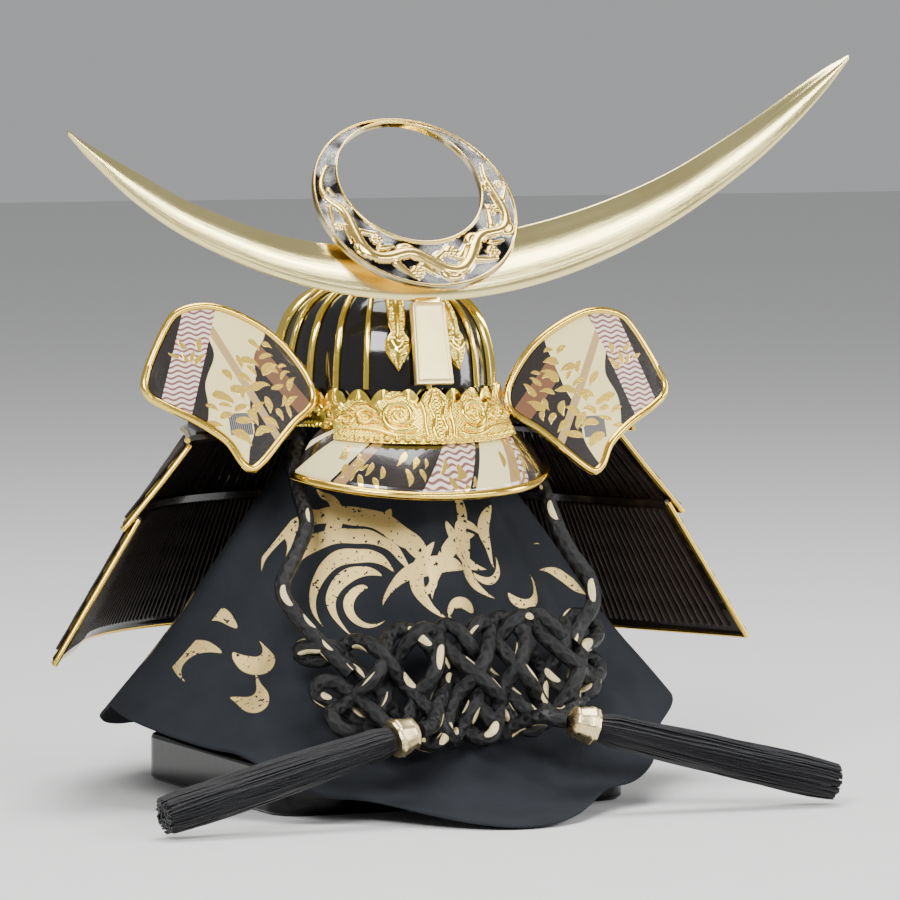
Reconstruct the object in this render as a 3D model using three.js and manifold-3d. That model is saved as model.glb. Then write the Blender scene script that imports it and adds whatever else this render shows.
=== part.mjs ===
// A small display helmet on its draped stand, in millimetres. +Z is up and the front faces -Y.
// The origin is the middle of the plinth's underside.
import * as THREE from 'three';
import Module from 'manifold-3d';

const wasm = await Module();
wasm.setup();

// Fits
const gap = 0.3;

// Bowl
const bowlHalfWidth = 36.2;
const bowlHalfDepth = 39.5;
const bowlFoot = 125;
const bowlHeight = 45.5;
const bowlWall = 2;
const bowlRoundness = 3.3;
const bowlRows = 5;

// Ribs of the bowl and the fitting at its crown
const ribCount = 22;
const ribWidth = 2.3;
const ribCrownWidth = 1.2;
const ribRise = 1.2;
const crownRadius = 10.5;
const crownFittingRadius = 9;
const crownFittingHeight = 5;

// Pointed plates over two front ribs
const plateWidth = 6;
const plateThickness = 1;
const plateFootHeight = 17;

// Band around the foot of the bowl
const bandDrop = 1;
const bandHeight = 9;
const bandThickness = 1.4;
const leafHeight = 4;
const leafCount = 30;

// Visor
const visorRootAngle = 52;
const visorLipAngle = 75;
const visorLipHalfWidth = 46;
const visorLipBack = 22;
const visorLipReach = 40;
const visorLipDrop = 12.2;
const visorFrontDrop = 7.8;
const visorBulge = 2.2;
const visorThickness = 1.6;
const visorRimRadius = 1.2;
const rivetRadius = 1.7;

// Cast ornament over the visor's root
const ornamentShare = 0.8;
const ornamentSeat = 0.42;
const ornamentRise = 12;
const ornamentThickness = 1;
const scrollRadius = 1.1;
const spiralRadius = 6.2;
const spiralPlace = 13.5;
const beadSize = 1.2;
const beadCount = 11;

// Holder and crescent
const moonLean = 13;
const moonProud = 0.54;
const moonFront = -bowlHalfDepth - moonProud;
const moonAboveBowlFoot = 40;
const moonFoot = bowlFoot + moonAboveBowlFoot;
const moonSpan = 284.3;
const moonLeft = 121.1;
const moonRise = 82.8;
const moonThickness = 2.6;
const tongueWidth = 9;
const tongueThickness = 1.4;
const tongueLength = 10;
const holderTopWidth = 11.6;
const holderFootWidth = 13.4;
const holderHeight = 27.5;
const holderFootThickness = 3.2;
const holderTopThickness = 3.9;

// Ring in front of the crescent
const ringLean = 40;
const ringBehindMoon = 11.54;
const ringFront = moonFront + ringBehindMoon;
const ringAboveMoonFoot = 33;
const ringHeight = moonFoot + ringAboveMoonFoot;
const ringRadius = 35.6;
const ringHole = 24.8;
const ringHoleLift = 8.6;
const ringThickness = 1.5;
const ringRimHeight = 0.9;
const ringRimWidth = 1.3;
const ringScrollRadius = 1.4;
const ringPegWidth = 6;
const ringPegHeight = 3;

// Neck guard, three tiers from the top
const tierThickness = 1.6;
const tierRimRadius = 0.8;
const tierFront = 21;
const tierBackSlack = 0.3;
const tierBackStretch = bowlHalfDepth - bowlHalfWidth - tierBackSlack;
const topTierClear = 4.3;
const topTierInner = bowlHalfWidth + topTierClear;
const topTierWidth = 41.5;
const tierSplay = 0.19;
const tierSplayTurn = 32;
const topTierOuter = topTierInner + topTierWidth;
const topTierDrop = 5;
const midTierLap = 2;
const midTierInner = topTierOuter - midTierLap;
const midTierFlare = 23;
const midTierOuter = midTierInner + midTierFlare;
const midTierBelowBowlFoot = 31.5;
const midTierFoot = bowlFoot - midTierBelowBowlFoot;
const lowTierLap = 5;
const lowTierInner = midTierOuter - lowTierLap;
const lowTierFlare = 29;
const lowTierOuter = lowTierInner + lowTierFlare;
const lowTierDrop = 43.5;
const lowTierFoot = midTierFoot - lowTierDrop;

// Turned-back side plates
const wingHalfWidth = 28;
const wingHalfHeight = 26.5;
const wingBesideBowl = 27.3;
const wingCentre = bowlHalfWidth + wingBesideBowl;
const wingFront = 24;
const wingAboveBowlFoot = 9.5;
const wingHeight = bowlFoot + wingAboveBowlFoot;
const wingLean = 20;
const wingBulge = 4;
const wingThickness = 1.2;
const wingRimRadius = 1.1;

// Stand
const plinthWidth = 126;
const plinthHeight = 16;
const plinthCorner = 10;
const plinthBevel = 1.5;
const postRadius = 7;
const headRadius = 12.5;
const headThickness = 8;

// Cloth over the stand
const clothWall = 1.5;
const clothTopRadius = 15;
const clothFold = 2.6;
const clothFoldCount = 9;

// Chin cord, its knot and the two tassels
const cordDiameter = 5.2;
const knotHalfWidth = 54;
const knotHalfHeight = 23;
const knotHalfThickness = 10;
const knotHeight = 42.5;
const knotWrap = 14;
const tasselRadius = 7;
const capRadius = 6.2;
const capLength = 9;
const capSink = 2.1;

const rad = (degrees) => (degrees * Math.PI) / 180;
const mix = (a, b, share) => a + (b - a) * share;
const mixPoint = (p, q, share) => p.map((value, axis) => mix(value, q[axis], share));
const vector = (p) => new THREE.Vector3(...p);

// A closed body: equal corners are shared, empty triangles are dropped and the faces point out.
function body(points, faces, joinCorners = true) {
  const seen = new Map();
  const positions = [];
  const place = points.map((point) => {
    const key = joinCorners ? point.map((value) => Math.round(value * 5000)).join() : positions.length;
    if (!seen.has(key)) {
      seen.set(key, positions.length / 3);
      positions.push(...point);
    }
    return seen.get(key);
  });
  const corners = [];
  let volume = 0;
  for (const face of faces) {
    const [a, b, c] = face.map((corner) => place[corner]);
    if (a === b || b === c || c === a) continue;
    corners.push(a, b, c);
    const [p, q, r] = [a, b, c].map((corner) => vector(positions.slice(corner * 3, corner * 3 + 3)));
    volume += p.dot(q.cross(r));
  }
  if (volume < 0) corners.reverse();
  const geometry = new THREE.BufferGeometry();
  geometry.setAttribute('position', new THREE.Float32BufferAttribute(positions, 3));
  geometry.setIndex(corners);
  geometry.computeVertexNormals();
  return geometry;
}

// Two skins over one grid, joined along their open edges. Each skin is a function of two shares.
function shell(across, up, outer, inner, allRound) {
  const points = [];
  for (const skin of [outer, inner]) {
    for (let i = 0; i <= across; i += 1) {
      for (let j = 0; j <= up; j += 1) {
        points.push(skin((allRound ? i % across : i) / across, j / up));
      }
    }
  }
  const at = (side, i, j) => (side * (across + 1) + i) * (up + 1) + j;
  const faces = [];
  const quad = (a, b, c, d) => faces.push([a, b, c], [a, c, d]);
  for (let i = 0; i < across; i += 1) {
    for (let j = 0; j < up; j += 1) {
      quad(at(0, i, j), at(0, i + 1, j), at(0, i + 1, j + 1), at(0, i, j + 1));
      quad(at(1, i, j), at(1, i, j + 1), at(1, i + 1, j + 1), at(1, i + 1, j));
    }
    quad(at(0, i + 1, 0), at(0, i, 0), at(1, i, 0), at(1, i + 1, 0));
    quad(at(0, i, up), at(0, i + 1, up), at(1, i + 1, up), at(1, i, up));
  }
  if (!allRound) {
    for (let j = 0; j < up; j += 1) {
      quad(at(0, 0, j), at(0, 0, j + 1), at(1, 0, j + 1), at(1, 0, j));
      quad(at(0, across, j + 1), at(0, across, j), at(1, across, j), at(1, across, j + 1));
    }
  }
  return body(points, faces);
}

// Rings of equal count joined one to the next, with flat ends unless the last meets the first.
function loft(rings, looped = false) {
  const sides = rings[0].length;
  const faces = [];
  for (let i = 0; i < rings.length - (looped ? 0 : 1); i += 1) {
    const next = (i + 1) % rings.length;
    for (let j = 0; j < sides; j += 1) {
      const k = (j + 1) % sides;
      faces.push([i * sides + j, next * sides + j, next * sides + k]);
      faces.push([i * sides + j, next * sides + k, i * sides + k]);
    }
  }
  if (!looped) {
    const last = (rings.length - 1) * sides;
    for (let j = 1; j < sides - 1; j += 1) {
      faces.push([0, j, j + 1], [last, last + j + 1, last + j]);
    }
  }
  return body(rings.flat(), faces);
}

// A round bead along a path, taken corner by corner, or in equal steps along its smooth curve.
// The radius may be a number or a function of the share along it.
function bead(path, radius, sides, steps = 0, looped = false) {
  const curve = new THREE.CatmullRomCurve3(path.map(vector), looped, 'centripetal');
  const count = steps ? steps + (looped ? 0 : 1) : path.length;
  const centres = Array.from({ length: count }, (_, i) => (steps ? curve.getPointAt(i / steps) : vector(path[i])));
  const rings = [];
  let across = null;
  for (let i = 0; i < count; i += 1) {
    const before = centres[looped ? (i + count - 1) % count : Math.max(i - 1, 0)];
    const after = centres[looped ? (i + 1) % count : Math.min(i + 1, count - 1)];
    const ahead = after.clone().sub(before).normalize();
    across = across || new THREE.Vector3(0.36, 0.48, 0.8).cross(ahead);
    across = across.addScaledVector(ahead, -across.dot(ahead)).normalize();
    const up = ahead.clone().cross(across);
    const size = typeof radius === 'number' ? radius : radius(i / (count - 1));
    rings.push(Array.from({ length: sides }, (_, j) => {
      const angle = (j / sides) * 2 * Math.PI;
      return centres[i].clone().addScaledVector(across, size * Math.cos(angle))
        .addScaledVector(up, size * Math.sin(angle)).toArray();
    }));
    across = across.clone();
  }
  return loft(rings, looped);
}

// The corners of a library shape, shared and turned to face out.
function plain(geometry) {
  const loose = geometry.index ? geometry.toNonIndexed() : geometry;
  const values = loose.attributes.position.array;
  const points = [];
  const faces = [];
  for (let i = 0; i < values.length; i += 3) points.push(Array.from(values.slice(i, i + 3)));
  for (let i = 0; i < points.length; i += 3) faces.push([i, i + 1, i + 2]);
  return body(points, faces);
}

const solid = (geometry) => new wasm.Manifold(new wasm.Mesh({
  numProp: 3,
  vertProperties: new Float32Array(geometry.attributes.position.array),
  triVerts: new Uint32Array(geometry.index.array),
}));

function fromSolid(manifold) {
  const mesh = manifold.getMesh();
  const points = [];
  const faces = [];
  for (let i = 0; i < mesh.vertProperties.length; i += mesh.numProp) {
    points.push(Array.from(mesh.vertProperties.slice(i, i + 3)));
  }
  for (let i = 0; i < mesh.triVerts.length; i += 3) faces.push(Array.from(mesh.triVerts.slice(i, i + 3)));
  return body(points, faces, false);
}

const fuse = (pieces) => fromSolid(pieces.map(solid).reduce((whole, piece) => whole.add(piece)));
const cut = (whole, tool) => fromSolid(solid(whole).subtract(solid(tool)));

const helmet = new THREE.Group();
function add(name, geometry, color, roughness, metalness) {
  const mesh = new THREE.Mesh(geometry, new THREE.MeshStandardMaterial({ color, roughness, metalness }));
  mesh.name = name;
  helmet.add(mesh);
}

const lacquer = [0x0b0b0d, 0.2, 0];
const gold = [0xd8a94a, 0.22, 1];
const paleGold = [0xe2cf98, 0.4, 1];
const silver = [0xc9c9c9, 0.2, 1];
const blackCord = [0x101012, 0.7, 0];

// Bowl: a boxy dome. The angle starts at the front and grows to the right.
function dome(angle, rise, lift) {
  const out = Math.cos(rise) ** (2 / bowlRoundness);
  const up = Math.sin(rise) ** (2 / bowlRoundness);
  return [
    (bowlHalfWidth + lift) * out * Math.sin(angle),
    -(bowlHalfDepth + lift) * out * Math.cos(angle),
    bowlFoot + (bowlHeight + lift) * up,
  ];
}
const quarter = (share) => (share >= 1 ? Math.PI / 2 : share * Math.PI / 2);
const domeSkin = (lift) => (u, v) => {
  const point = dome(2 * Math.PI * u, quarter(v), lift);
  return v >= 1 ? [0, 0, point[2]] : point;
};
add('bowl', shell(32, bowlRows, domeSkin(0), domeSkin(-bowlWall), true), ...lacquer);

// Ribs: gilt strips from the foot to a ring at the crown, all one piece.
const ribFoot = rad(6);
const ribTop = Math.acos((crownRadius / bowlHalfWidth) ** (bowlRoundness / 2));
// The strips over the bowl bend only where the bowl's own rows do.
function risesBetween(from, to) {
  const rows = Array.from({ length: bowlRows }, (_, i) => quarter(i / bowlRows));
  return [from, ...rows.filter((rise) => rise > from + 0.02 && rise < to - 0.02), to];
}
function strip(angle, rises, widthAt, low, high) {
  const rings = [];
  for (const rise of rises) {
    const share = (rise - rises[0]) / (rises[rises.length - 1] - rises[0]);
    const centre = dome(angle, rise, 0);
    const reach = Math.hypot(centre[0], centre[1]);
    const half = Math.min(widthAt(share) / 2 / reach, 0.5);
    rings.push([
      dome(angle - half, rise, low),
      dome(angle + half, rise, low),
      dome(angle + half * 0.75, rise, high),
      dome(angle - half * 0.75, rise, high),
    ]);
  }
  return loft(rings);
}
const ribs = [];
for (let i = 0; i < ribCount; i += 1) {
  const width = (share) => mix(ribWidth, ribCrownWidth, share ** 2);
  ribs.push(strip((i / ribCount) * 2 * Math.PI, risesBetween(ribFoot, ribTop), width, gap, gap + ribRise));
}
const crownRing = (low, high) => {
  const rings = [];
  for (let i = 0; i < 22; i += 1) {
    const angle = (i / 22) * 2 * Math.PI;
    const inside = Math.acos((crownRadius * 0.45 / bowlHalfWidth) ** (bowlRoundness / 2));
    const outside = Math.acos((crownRadius * 1.12 / bowlHalfWidth) ** (bowlRoundness / 2));
    rings.push([
      dome(angle, outside, low), dome(angle, outside, high),
      dome(angle, inside, high), dome(angle, inside, low),
    ]);
  }
  return loft(rings, true);
};
add('bowl_ribs', fuse([crownRing(gap, gap + ribRise + 0.2), ...ribs]), ...gold);

// Crown fitting: stacked rounds above the ring of the ribs.
const ribsTop = bowlFoot + bowlHeight + ribRise + 0.2 + gap;
const crownProfile = [
  [0, 0], [1, 0], [1, 0.22], [0.72, 0.3], [0.72, 0.5], [0.46, 0.62], [0.4, 1], [0, 1],
].map(([out, up]) => new THREE.Vector2(out * crownFittingRadius, up * crownFittingHeight));
const crown = new THREE.LatheGeometry(crownProfile, 16);
crown.rotateX(Math.PI / 2);
crown.translate(0, 0, ribsTop + gap);
add('crown_fitting', plain(crown), ...gold);

// Pointed plates lying over the two ribs beside the front one, joined by a bar at the crown.
const plateLow = gap + ribRise + gap;
const plateHigh = plateLow + plateThickness;
const plateFoot = Math.asin((plateFootHeight / bowlHeight) ** (bowlRoundness / 2));
const plateTop = ribTop - rad(4);
const platePoint = 0.14;
const plateShape = (share) => {
  const point = Math.min(share / platePoint, 1);
  return mix(0.5, plateWidth, point) * mix(1, 0.5, Math.max(share - platePoint, 0) / (1 - platePoint));
};
const plateRises = risesBetween(plateFoot, plateTop);
plateRises.splice(1, 0, mix(plateFoot, plateTop, platePoint));
plateRises.sort((a, b) => a - b);
const plates = [-1, 1].map((side) => strip(
  (side / ribCount) * 2 * Math.PI, plateRises, plateShape, plateLow, plateHigh,
));
const barRings = [];
for (let i = 0; i <= 8; i += 1) {
  const angle = mix(-1.25, 1.25, i / 8) * (2 * Math.PI / ribCount);
  barRings.push([
    dome(angle, plateTop - rad(9), plateLow), dome(angle, plateTop - rad(9), plateHigh),
    dome(angle, plateTop, plateHigh), dome(angle, plateTop, plateLow),
  ]);
}
add('front_plates', fuse([loft(barRings), ...plates]), ...gold);

// Band around the foot, its upper edge cut into leaves.
const bandInnerX = bowlHalfWidth + plateLow;
const bandInnerY = bowlHalfDepth + plateLow;
const bandOuterX = bandInnerX + bandThickness;
const bandOuterY = bandInnerY + bandThickness;
const bandFoot = bowlFoot - bandDrop;
const bandPoint = (extra) => (u, v) => {
  const angle = 2 * Math.PI * u;
  const leaf = Math.round(u * leafCount * 2) % 2 === 0 ? leafHeight : 0;
  return [
    (bandInnerX + extra) * Math.sin(angle),
    -(bandInnerY + extra) * Math.cos(angle),
    bandFoot + v * (bandHeight + leaf),
  ];
};
add('foot_band', shell(leafCount * 2, 1, bandPoint(bandThickness), bandPoint(0), true), ...gold);

// Visor: from the band to a lip that drops towards the front.
function visorPoint(side, out, drop) {
  const root = rad(visorRootAngle * side);
  const lip = rad(visorLipAngle * side);
  const rootPoint = [
    (bandOuterX + gap) * Math.sin(root),
    -(bandOuterY + gap) * Math.cos(root),
    bowlFoot,
  ];
  const lipPoint = [
    visorLipHalfWidth * Math.sin(lip),
    -visorLipBack - visorLipReach * Math.cos(lip),
    bowlFoot - visorLipDrop - visorFrontDrop * Math.cos(lip),
  ];
  const point = mixPoint(rootPoint, lipPoint, out);
  point[2] += visorBulge * Math.sin(Math.PI * out) - drop;
  return point;
}
const visorSteps = 16;
add('visor', shell(
  visorSteps, 2,
  (u, v) => visorPoint(u * 2 - 1, v, 0),
  (u, v) => visorPoint(u * 2 - 1, v, visorThickness),
  false,
), 0x1a1512, 0.25, 0.4);
const lipPath = [];
for (let i = 0; i <= visorSteps; i += 1) {
  const side = mix(-1, 1, i / visorSteps);
  const lip = visorPoint(side, 1, visorThickness / 2);
  const root = visorPoint(side, 0, visorThickness / 2);
  const out = vector(lip).sub(vector(root)).normalize().multiplyScalar(gap + visorRimRadius + 0.1);
  lipPath.push(vector(lip).add(out).toArray());
}
add('visor_rim', bead(lipPath, visorRimRadius, 6), ...gold);
for (const [name, side] of [['left_rivet', -0.96], ['right_rivet', 0.96]]) {
  const seat = visorPoint(side, 0.14, 0);
  const ball = new THREE.SphereGeometry(rivetRadius, 7, 5);
  ball.rotateX(Math.PI / 2);
  ball.translate(seat[0], seat[1] - 0.4 * rivetRadius, seat[2] + rivetRadius + gap);
  add(name, plain(ball), ...silver);
}

// Cast ornament: a plate from the visor up to the band, with two spirals, scrolls and beads on it.
function ornamentPoint(across, up, out) {
  const side = across * ornamentShare;
  const low = visorPoint(side, ornamentSeat, -gap);
  const angle = rad(visorRootAngle * 1.15 * side);
  const high = [
    (bandOuterX + gap) * Math.sin(angle),
    -(bandOuterY + gap) * Math.cos(angle),
    bowlFoot + ornamentRise - 5 * across ** 2,
  ];
  const point = mixPoint(low, high, up);
  const lean = 0.5;
  return [
    point[0] + out * Math.sin(angle),
    point[1] - out * Math.cos(angle),
    point[2] + out * lean,
  ];
}
const ornamentTop = (across) => 0.86 + 0.14 * Math.cos(across * 5 * Math.PI) * (1 - 0.4 * across ** 2);
const ornamentSkin = (out) => (u, v) => ornamentPoint(u * 2 - 1, v * ornamentTop(u * 2 - 1), out);
const ornamentPieces = [shell(16, 1, ornamentSkin(ornamentThickness), ornamentSkin(0), false)];
const acrossScale = Math.abs(ornamentPoint(0.5, 0.5, 0)[0]) / 0.5;
const upScale = vector(ornamentPoint(0, 1, 0)).distanceTo(vector(ornamentPoint(0, 0, 0)));
for (const side of [-1, 1]) {
  const spiral = [];
  for (let i = 0; i <= 16; i += 1) {
    const share = i / 16;
    const angle = share * 3.4 * Math.PI + 0.3;
    const reach = mix(spiralRadius * 0.12, spiralRadius, share ** 0.85);
    spiral.push(ornamentPoint(
      side * (spiralPlace + reach * Math.cos(angle)) / acrossScale,
      0.5 + reach * Math.sin(angle) / upScale,
      ornamentThickness + scrollRadius * 0.5,
    ));
  }
  ornamentPieces.push(bead(spiral, (share) => scrollRadius * mix(1.25, 0.85, share), 4));
  const arm = [0.46, 0.56, 0.66, 0.76, 0.86, 0.95].map((place, i) => ornamentPoint(
    side * place, [0.72, 0.4, 0.3, 0.5, 0.6, 0.36][i], ornamentThickness + scrollRadius * 0.4,
  ));
  ornamentPieces.push(bead(arm, (share) => scrollRadius * mix(1.3, 0.6, share), 4, 7));
}
const crest = [[0, 0.1], [0.02, 0.4], [-0.02, 0.62], [0, 0.92]].map(([across, up]) => ornamentPoint(
  across, up, ornamentThickness + scrollRadius * 0.5,
));
ornamentPieces.push(bead(crest, (share) => scrollRadius * (1.7 - 1.2 * share), 5));
for (let i = 0; i < beadCount; i += 1) {
  const pearl = new THREE.OctahedronGeometry(beadSize);
  pearl.translate(...ornamentPoint(mix(-0.94, 0.94, i / (beadCount - 1)), 0.09, ornamentThickness + 0.4));
  ornamentPieces.push(plain(pearl));
}
add('front_ornament', fuse(ornamentPieces), 0xf0c860, 0.25, 1);

// A plane that leans back: x is across, up runs along it, and depth goes behind it.
const leaning = (front, height, lean) => (x, up, depth) => [
  x,
  front + up * Math.sin(rad(lean)) + depth * Math.cos(rad(lean)),
  height + up * Math.cos(rad(lean)) - depth * Math.sin(rad(lean)),
];

// Crescent: lower and upper edge as shares of its rise, by share of its span from the left tip.
const moonTable = [
  { at: 0, low: 0.7, high: 0.72 },
  { at: 0.03, low: 0.585, high: 0.655 },
  { at: 0.08, low: 0.418, high: 0.553 },
  { at: 0.15, low: 0.258, high: 0.419 },
  { at: 0.25, low: 0.111, high: 0.292 },
  { at: 0.35, low: 0.034, high: 0.244 },
  { at: 0.45, low: 0.017, high: 0.257 },
  { at: 0.55, low: 0.061, high: 0.309 },
  { at: 0.65, low: 0.162, high: 0.397 },
  { at: 0.75, low: 0.318, high: 0.527 },
  { at: 0.85, low: 0.528, high: 0.709 },
  { at: 0.92, low: 0.712, high: 0.857 },
  { at: 0.97, low: 0.87, high: 0.958 },
  { at: 1, low: 0.985, high: 1.009 },
];
const edgeCurve = (side) => new THREE.SplineCurve(
  moonTable.map((row) => new THREE.Vector2(row.at * moonSpan - moonLeft, row[side] * moonRise)),
);
const lowEdge = edgeCurve('low');
const highEdge = edgeCurve('high');
const moonPlane = leaning(moonFront, moonFoot, moonLean);
const moonSection = [
  { up: 0, depth: 0.6 }, { up: 0.1, depth: 0.16 }, { up: 0.44, depth: 0 }, { up: 0.96, depth: 0.42 },
  { up: 1, depth: 0.62 }, { up: 0.92, depth: 1 }, { up: 0.08, depth: 1 },
];
const moonRings = [];
for (let i = 0; i <= 28; i += 1) {
  const low = lowEdge.getPoint(i / 28);
  const high = highEdge.getPoint(i / 28);
  const thickness = Math.min(moonThickness, 0.5 + 0.45 * (high.y - low.y));
  moonRings.push(moonSection.map(({ up, depth }) => moonPlane(
    mix(low.x, high.x, up), mix(low.y, high.y, up), depth * thickness,
  )));
}
const blockOn = (plane, halfWidth, low, high, front, back) => loft([
  [[-1, low, front], [1, low, front], [1, low, back], [-1, low, back]],
  [[-1, high, front], [1, high, front], [1, high, back], [-1, high, back]],
].map((ring) => ring.map(([side, up, depth]) => plane(side * halfWidth, up, depth))));
const moonLowAtHolder = lowEdge.getPoint(0.41).y;
const tongueFront = 1.1;
add('crescent', fuse([
  loft(moonRings),
  blockOn(moonPlane, tongueWidth / 2, moonLowAtHolder - tongueLength, moonLowAtHolder + 5,
    tongueFront, tongueFront + tongueThickness - 0.4),
]), ...paleGold);

// Holder: a wedge block with a slot for the crescent's tongue, standing on the ornament.
const holderTop = moonLowAtHolder - 0.5 - gap;
const holderFoot = holderTop - holderHeight;
const holderRing = (up, halfWidth, thickness) => [
  [-halfWidth, up, 0], [halfWidth, up, 0], [halfWidth, up, thickness], [-halfWidth, up, thickness],
].map((corner) => moonPlane(...corner));
add('holder', cut(
  loft([
    holderRing(holderFoot, holderFootWidth / 2, holderFootThickness),
    holderRing(holderTop, holderTopWidth / 2, holderTopThickness),
  ]),
  blockOn(moonPlane, tongueWidth / 2 + gap, holderTop - tongueLength - gap, holderTop + 3,
    tongueFront - gap, tongueFront + tongueThickness + gap - 0.4),
), 0xe8d9ae, 0.45, 0.7);

// Ring: a round plate with a high-set round hole, raised rims and a raised winding scroll.
const ringPlane = leaning(ringFront, ringHeight, ringLean);
function ringBand(angle) {
  const hole = [ringHole * Math.sin(angle), ringHoleLift - ringHole * Math.cos(angle)];
  const edge = [ringRadius * Math.sin(angle), -ringRadius * Math.cos(angle)];
  return { hole, edge, width: Math.hypot(edge[0] - hole[0], edge[1] - hole[1]) };
}
const ringRings = [];
for (let i = 0; i < 30; i += 1) {
  const { hole, edge, width } = ringBand((i / 30) * 2 * Math.PI);
  const rim = Math.min(ringRimWidth / width, 0.34);
  ringRings.push([
    [0, ringThickness], [0, -ringRimHeight], [rim, -ringRimHeight], [rim, 0],
    [1 - rim, 0], [1 - rim, -ringRimHeight], [1, -ringRimHeight], [1, ringThickness],
  ].map(([share, depth]) => ringPlane(mix(hole[0], edge[0], share), mix(hole[1], edge[1], share), depth)));
}
const ringScroll = [];
for (let i = 0; i <= 28; i += 1) {
  const angle = mix(rad(-108), rad(108), i / 28);
  const { hole, edge } = ringBand(angle);
  const share = 0.5 + 0.2 * Math.sin(angle * 6.5);
  ringScroll.push(ringPlane(mix(hole[0], edge[0], share), mix(hole[1], edge[1], share), -0.5));
}
const pegUp = -24;
const pegAt = ringPlane(0, pegUp, ringThickness);
const pegBack = moonPlane(0, (pegAt[2] - moonFoot) / Math.cos(rad(moonLean)) - ringPegHeight, 0)[1] - gap;
const peg = new THREE.BoxGeometry(ringPegWidth, pegBack - pegAt[1] + 0.8, ringPegHeight);
peg.translate(0, (pegBack + pegAt[1] - 0.8) / 2, pegAt[2]);
add('ring', fuse([
  loft(ringRings, true),
  bead(ringScroll, (share) => ringScrollRadius * (0.55 + 0.45 * Math.sin(Math.PI * share)), 4),
  plain(peg),
]), 0xd9b45c, 0.2, 1);

// Turned-back side plates: the outline as shares of half width (outwards) and half height.
const wingTable = [
  { out: 0.16, up: 1 }, { out: 0.53, up: 0.97 }, { out: 0.72, up: 0.77 }, { out: 0.98, up: 0.26 },
  { out: 1.02, up: 0.03 }, { out: 0.83, up: -0.15 }, { out: 0.45, up: -0.4 }, { out: 0.15, up: -0.67 },
  { out: -0.02, up: -0.97 }, { out: -0.16, up: -0.95 }, { out: -0.63, up: -0.46 }, { out: -0.94, up: -0.18 },
  { out: -0.93, up: 0.1 }, { out: -0.65, up: 0.52 }, { out: -0.28, up: 0.81 },
];
const wingOutline = new THREE.CatmullRomCurve3(
  wingTable.map(({ out, up }) => new THREE.Vector3(out, up, 0)), true, 'centripetal',
);
const wingSides = [
  { name: 'left', sign: -1, lift: 2.5 },
  { name: 'right', sign: 1, lift: -1.5 },
];
function wingPoint(side, out, up, depth) {
  const plane = leaning(-wingFront, wingHeight + side.lift, wingLean);
  const bulge = wingBulge * (1 - Math.min(out ** 2, 1));
  return plane(side.sign * (wingCentre + out * wingHalfWidth), up * wingHalfHeight, depth - bulge);
}
const wingSteps = 28;
const wingTurn = -1;
for (const side of wingSides) {
  const skin = (depth) => (u, v) => {
    const edge = wingOutline.getPointAt(u);
    return wingPoint(side, edge.x * (1 - v), edge.y * (1 - v), depth);
  };
  add(`${side.name}_side_plate`, shell(wingSteps, 2, skin(0), skin(wingThickness), true), 0x1a1512, 0.25, 0.4);
  const path = [];
  for (let i = 0; i < wingSteps; i += 1) {
    const edge = wingOutline.getPointAt(i / wingSteps);
    const before = wingOutline.getPointAt((i + wingSteps - 1) / wingSteps % 1);
    const after = wingOutline.getPointAt((i + 1) / wingSteps % 1);
    const [tx, ty] = [(after.x - before.x) * wingHalfWidth, (after.y - before.y) * wingHalfHeight];
    const reach = (gap + 0.15 + wingRimRadius) / Math.hypot(tx, ty) * wingTurn;
    path.push(wingPoint(
      side,
      edge.x + (ty * reach) / wingHalfWidth,
      edge.y - (tx * reach) / wingHalfHeight,
      wingThickness / 2,
    ));
  }
  add(`${side.name}_side_plate_rim`, bead(path, wingRimRadius, 4, 0, true), ...gold);
}

// Neck guard: cone bands open at the front, whose ends splay outwards from a tighter curve behind. The top tier
// ends against the backs of the side plates.
function tierPoint(tier, u, v, depth) {
  const [dr, dz] = [tier.outer - tier.inner, tier.foot - tier.top];
  const length = Math.hypot(dr, dz);
  const radius = mix(tier.inner, tier.outer, v) + (dz / length) * depth;
  const height = mix(tier.top, tier.foot, v) - (dr / length) * depth;
  const end = Math.acos(-tierFront / radius);
  const angle = mix(-end, end, u);
  const cos = Math.cos(angle);
  const behindEnd = Math.min((end - Math.abs(angle)) / rad(tierSplayTurn), 1);
  const flare = Math.min(Math.max((radius - topTierInner) / topTierWidth, 0), 1);
  const plan = radius * (1 - tierSplay * flare * (1 - (1 - behindEnd) ** 2));
  const point = [
    plan * Math.sin(angle),
    (plan + tierBackStretch * Math.max(cos, 0)) * cos,
    height,
  ];
  if (tier.meetsWings && (u === 0 || u === 1)) {
    const side = wingSides[u];
    point[0] = side.sign * radius * 0.97;
    const up = (height - wingHeight - side.lift) / Math.cos(rad(wingLean)) / wingHalfHeight;
    const out = (Math.abs(point[0]) - wingCentre) / wingHalfWidth;
    point[1] = wingPoint(side, out, up, wingThickness)[1] + gap + 0.35;
  }
  return point;
}
const topFoot = bowlFoot + 2 - topTierDrop;
const tiers = [
  {
    name: 'top_tier', inner: topTierInner, outer: topTierOuter, top: bowlFoot + 2, foot: topFoot,
    meetsWings: true,
  },
  {
    name: 'middle_tier', inner: midTierInner, outer: midTierOuter, foot: midTierFoot,
    top: topFoot - tierThickness - gap,
  },
  {
    name: 'lower_tier', inner: lowTierInner, outer: lowTierOuter, foot: lowTierFoot,
    top: midTierFoot + 2.9,
  },
];
const tierSteps = 24;
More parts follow.
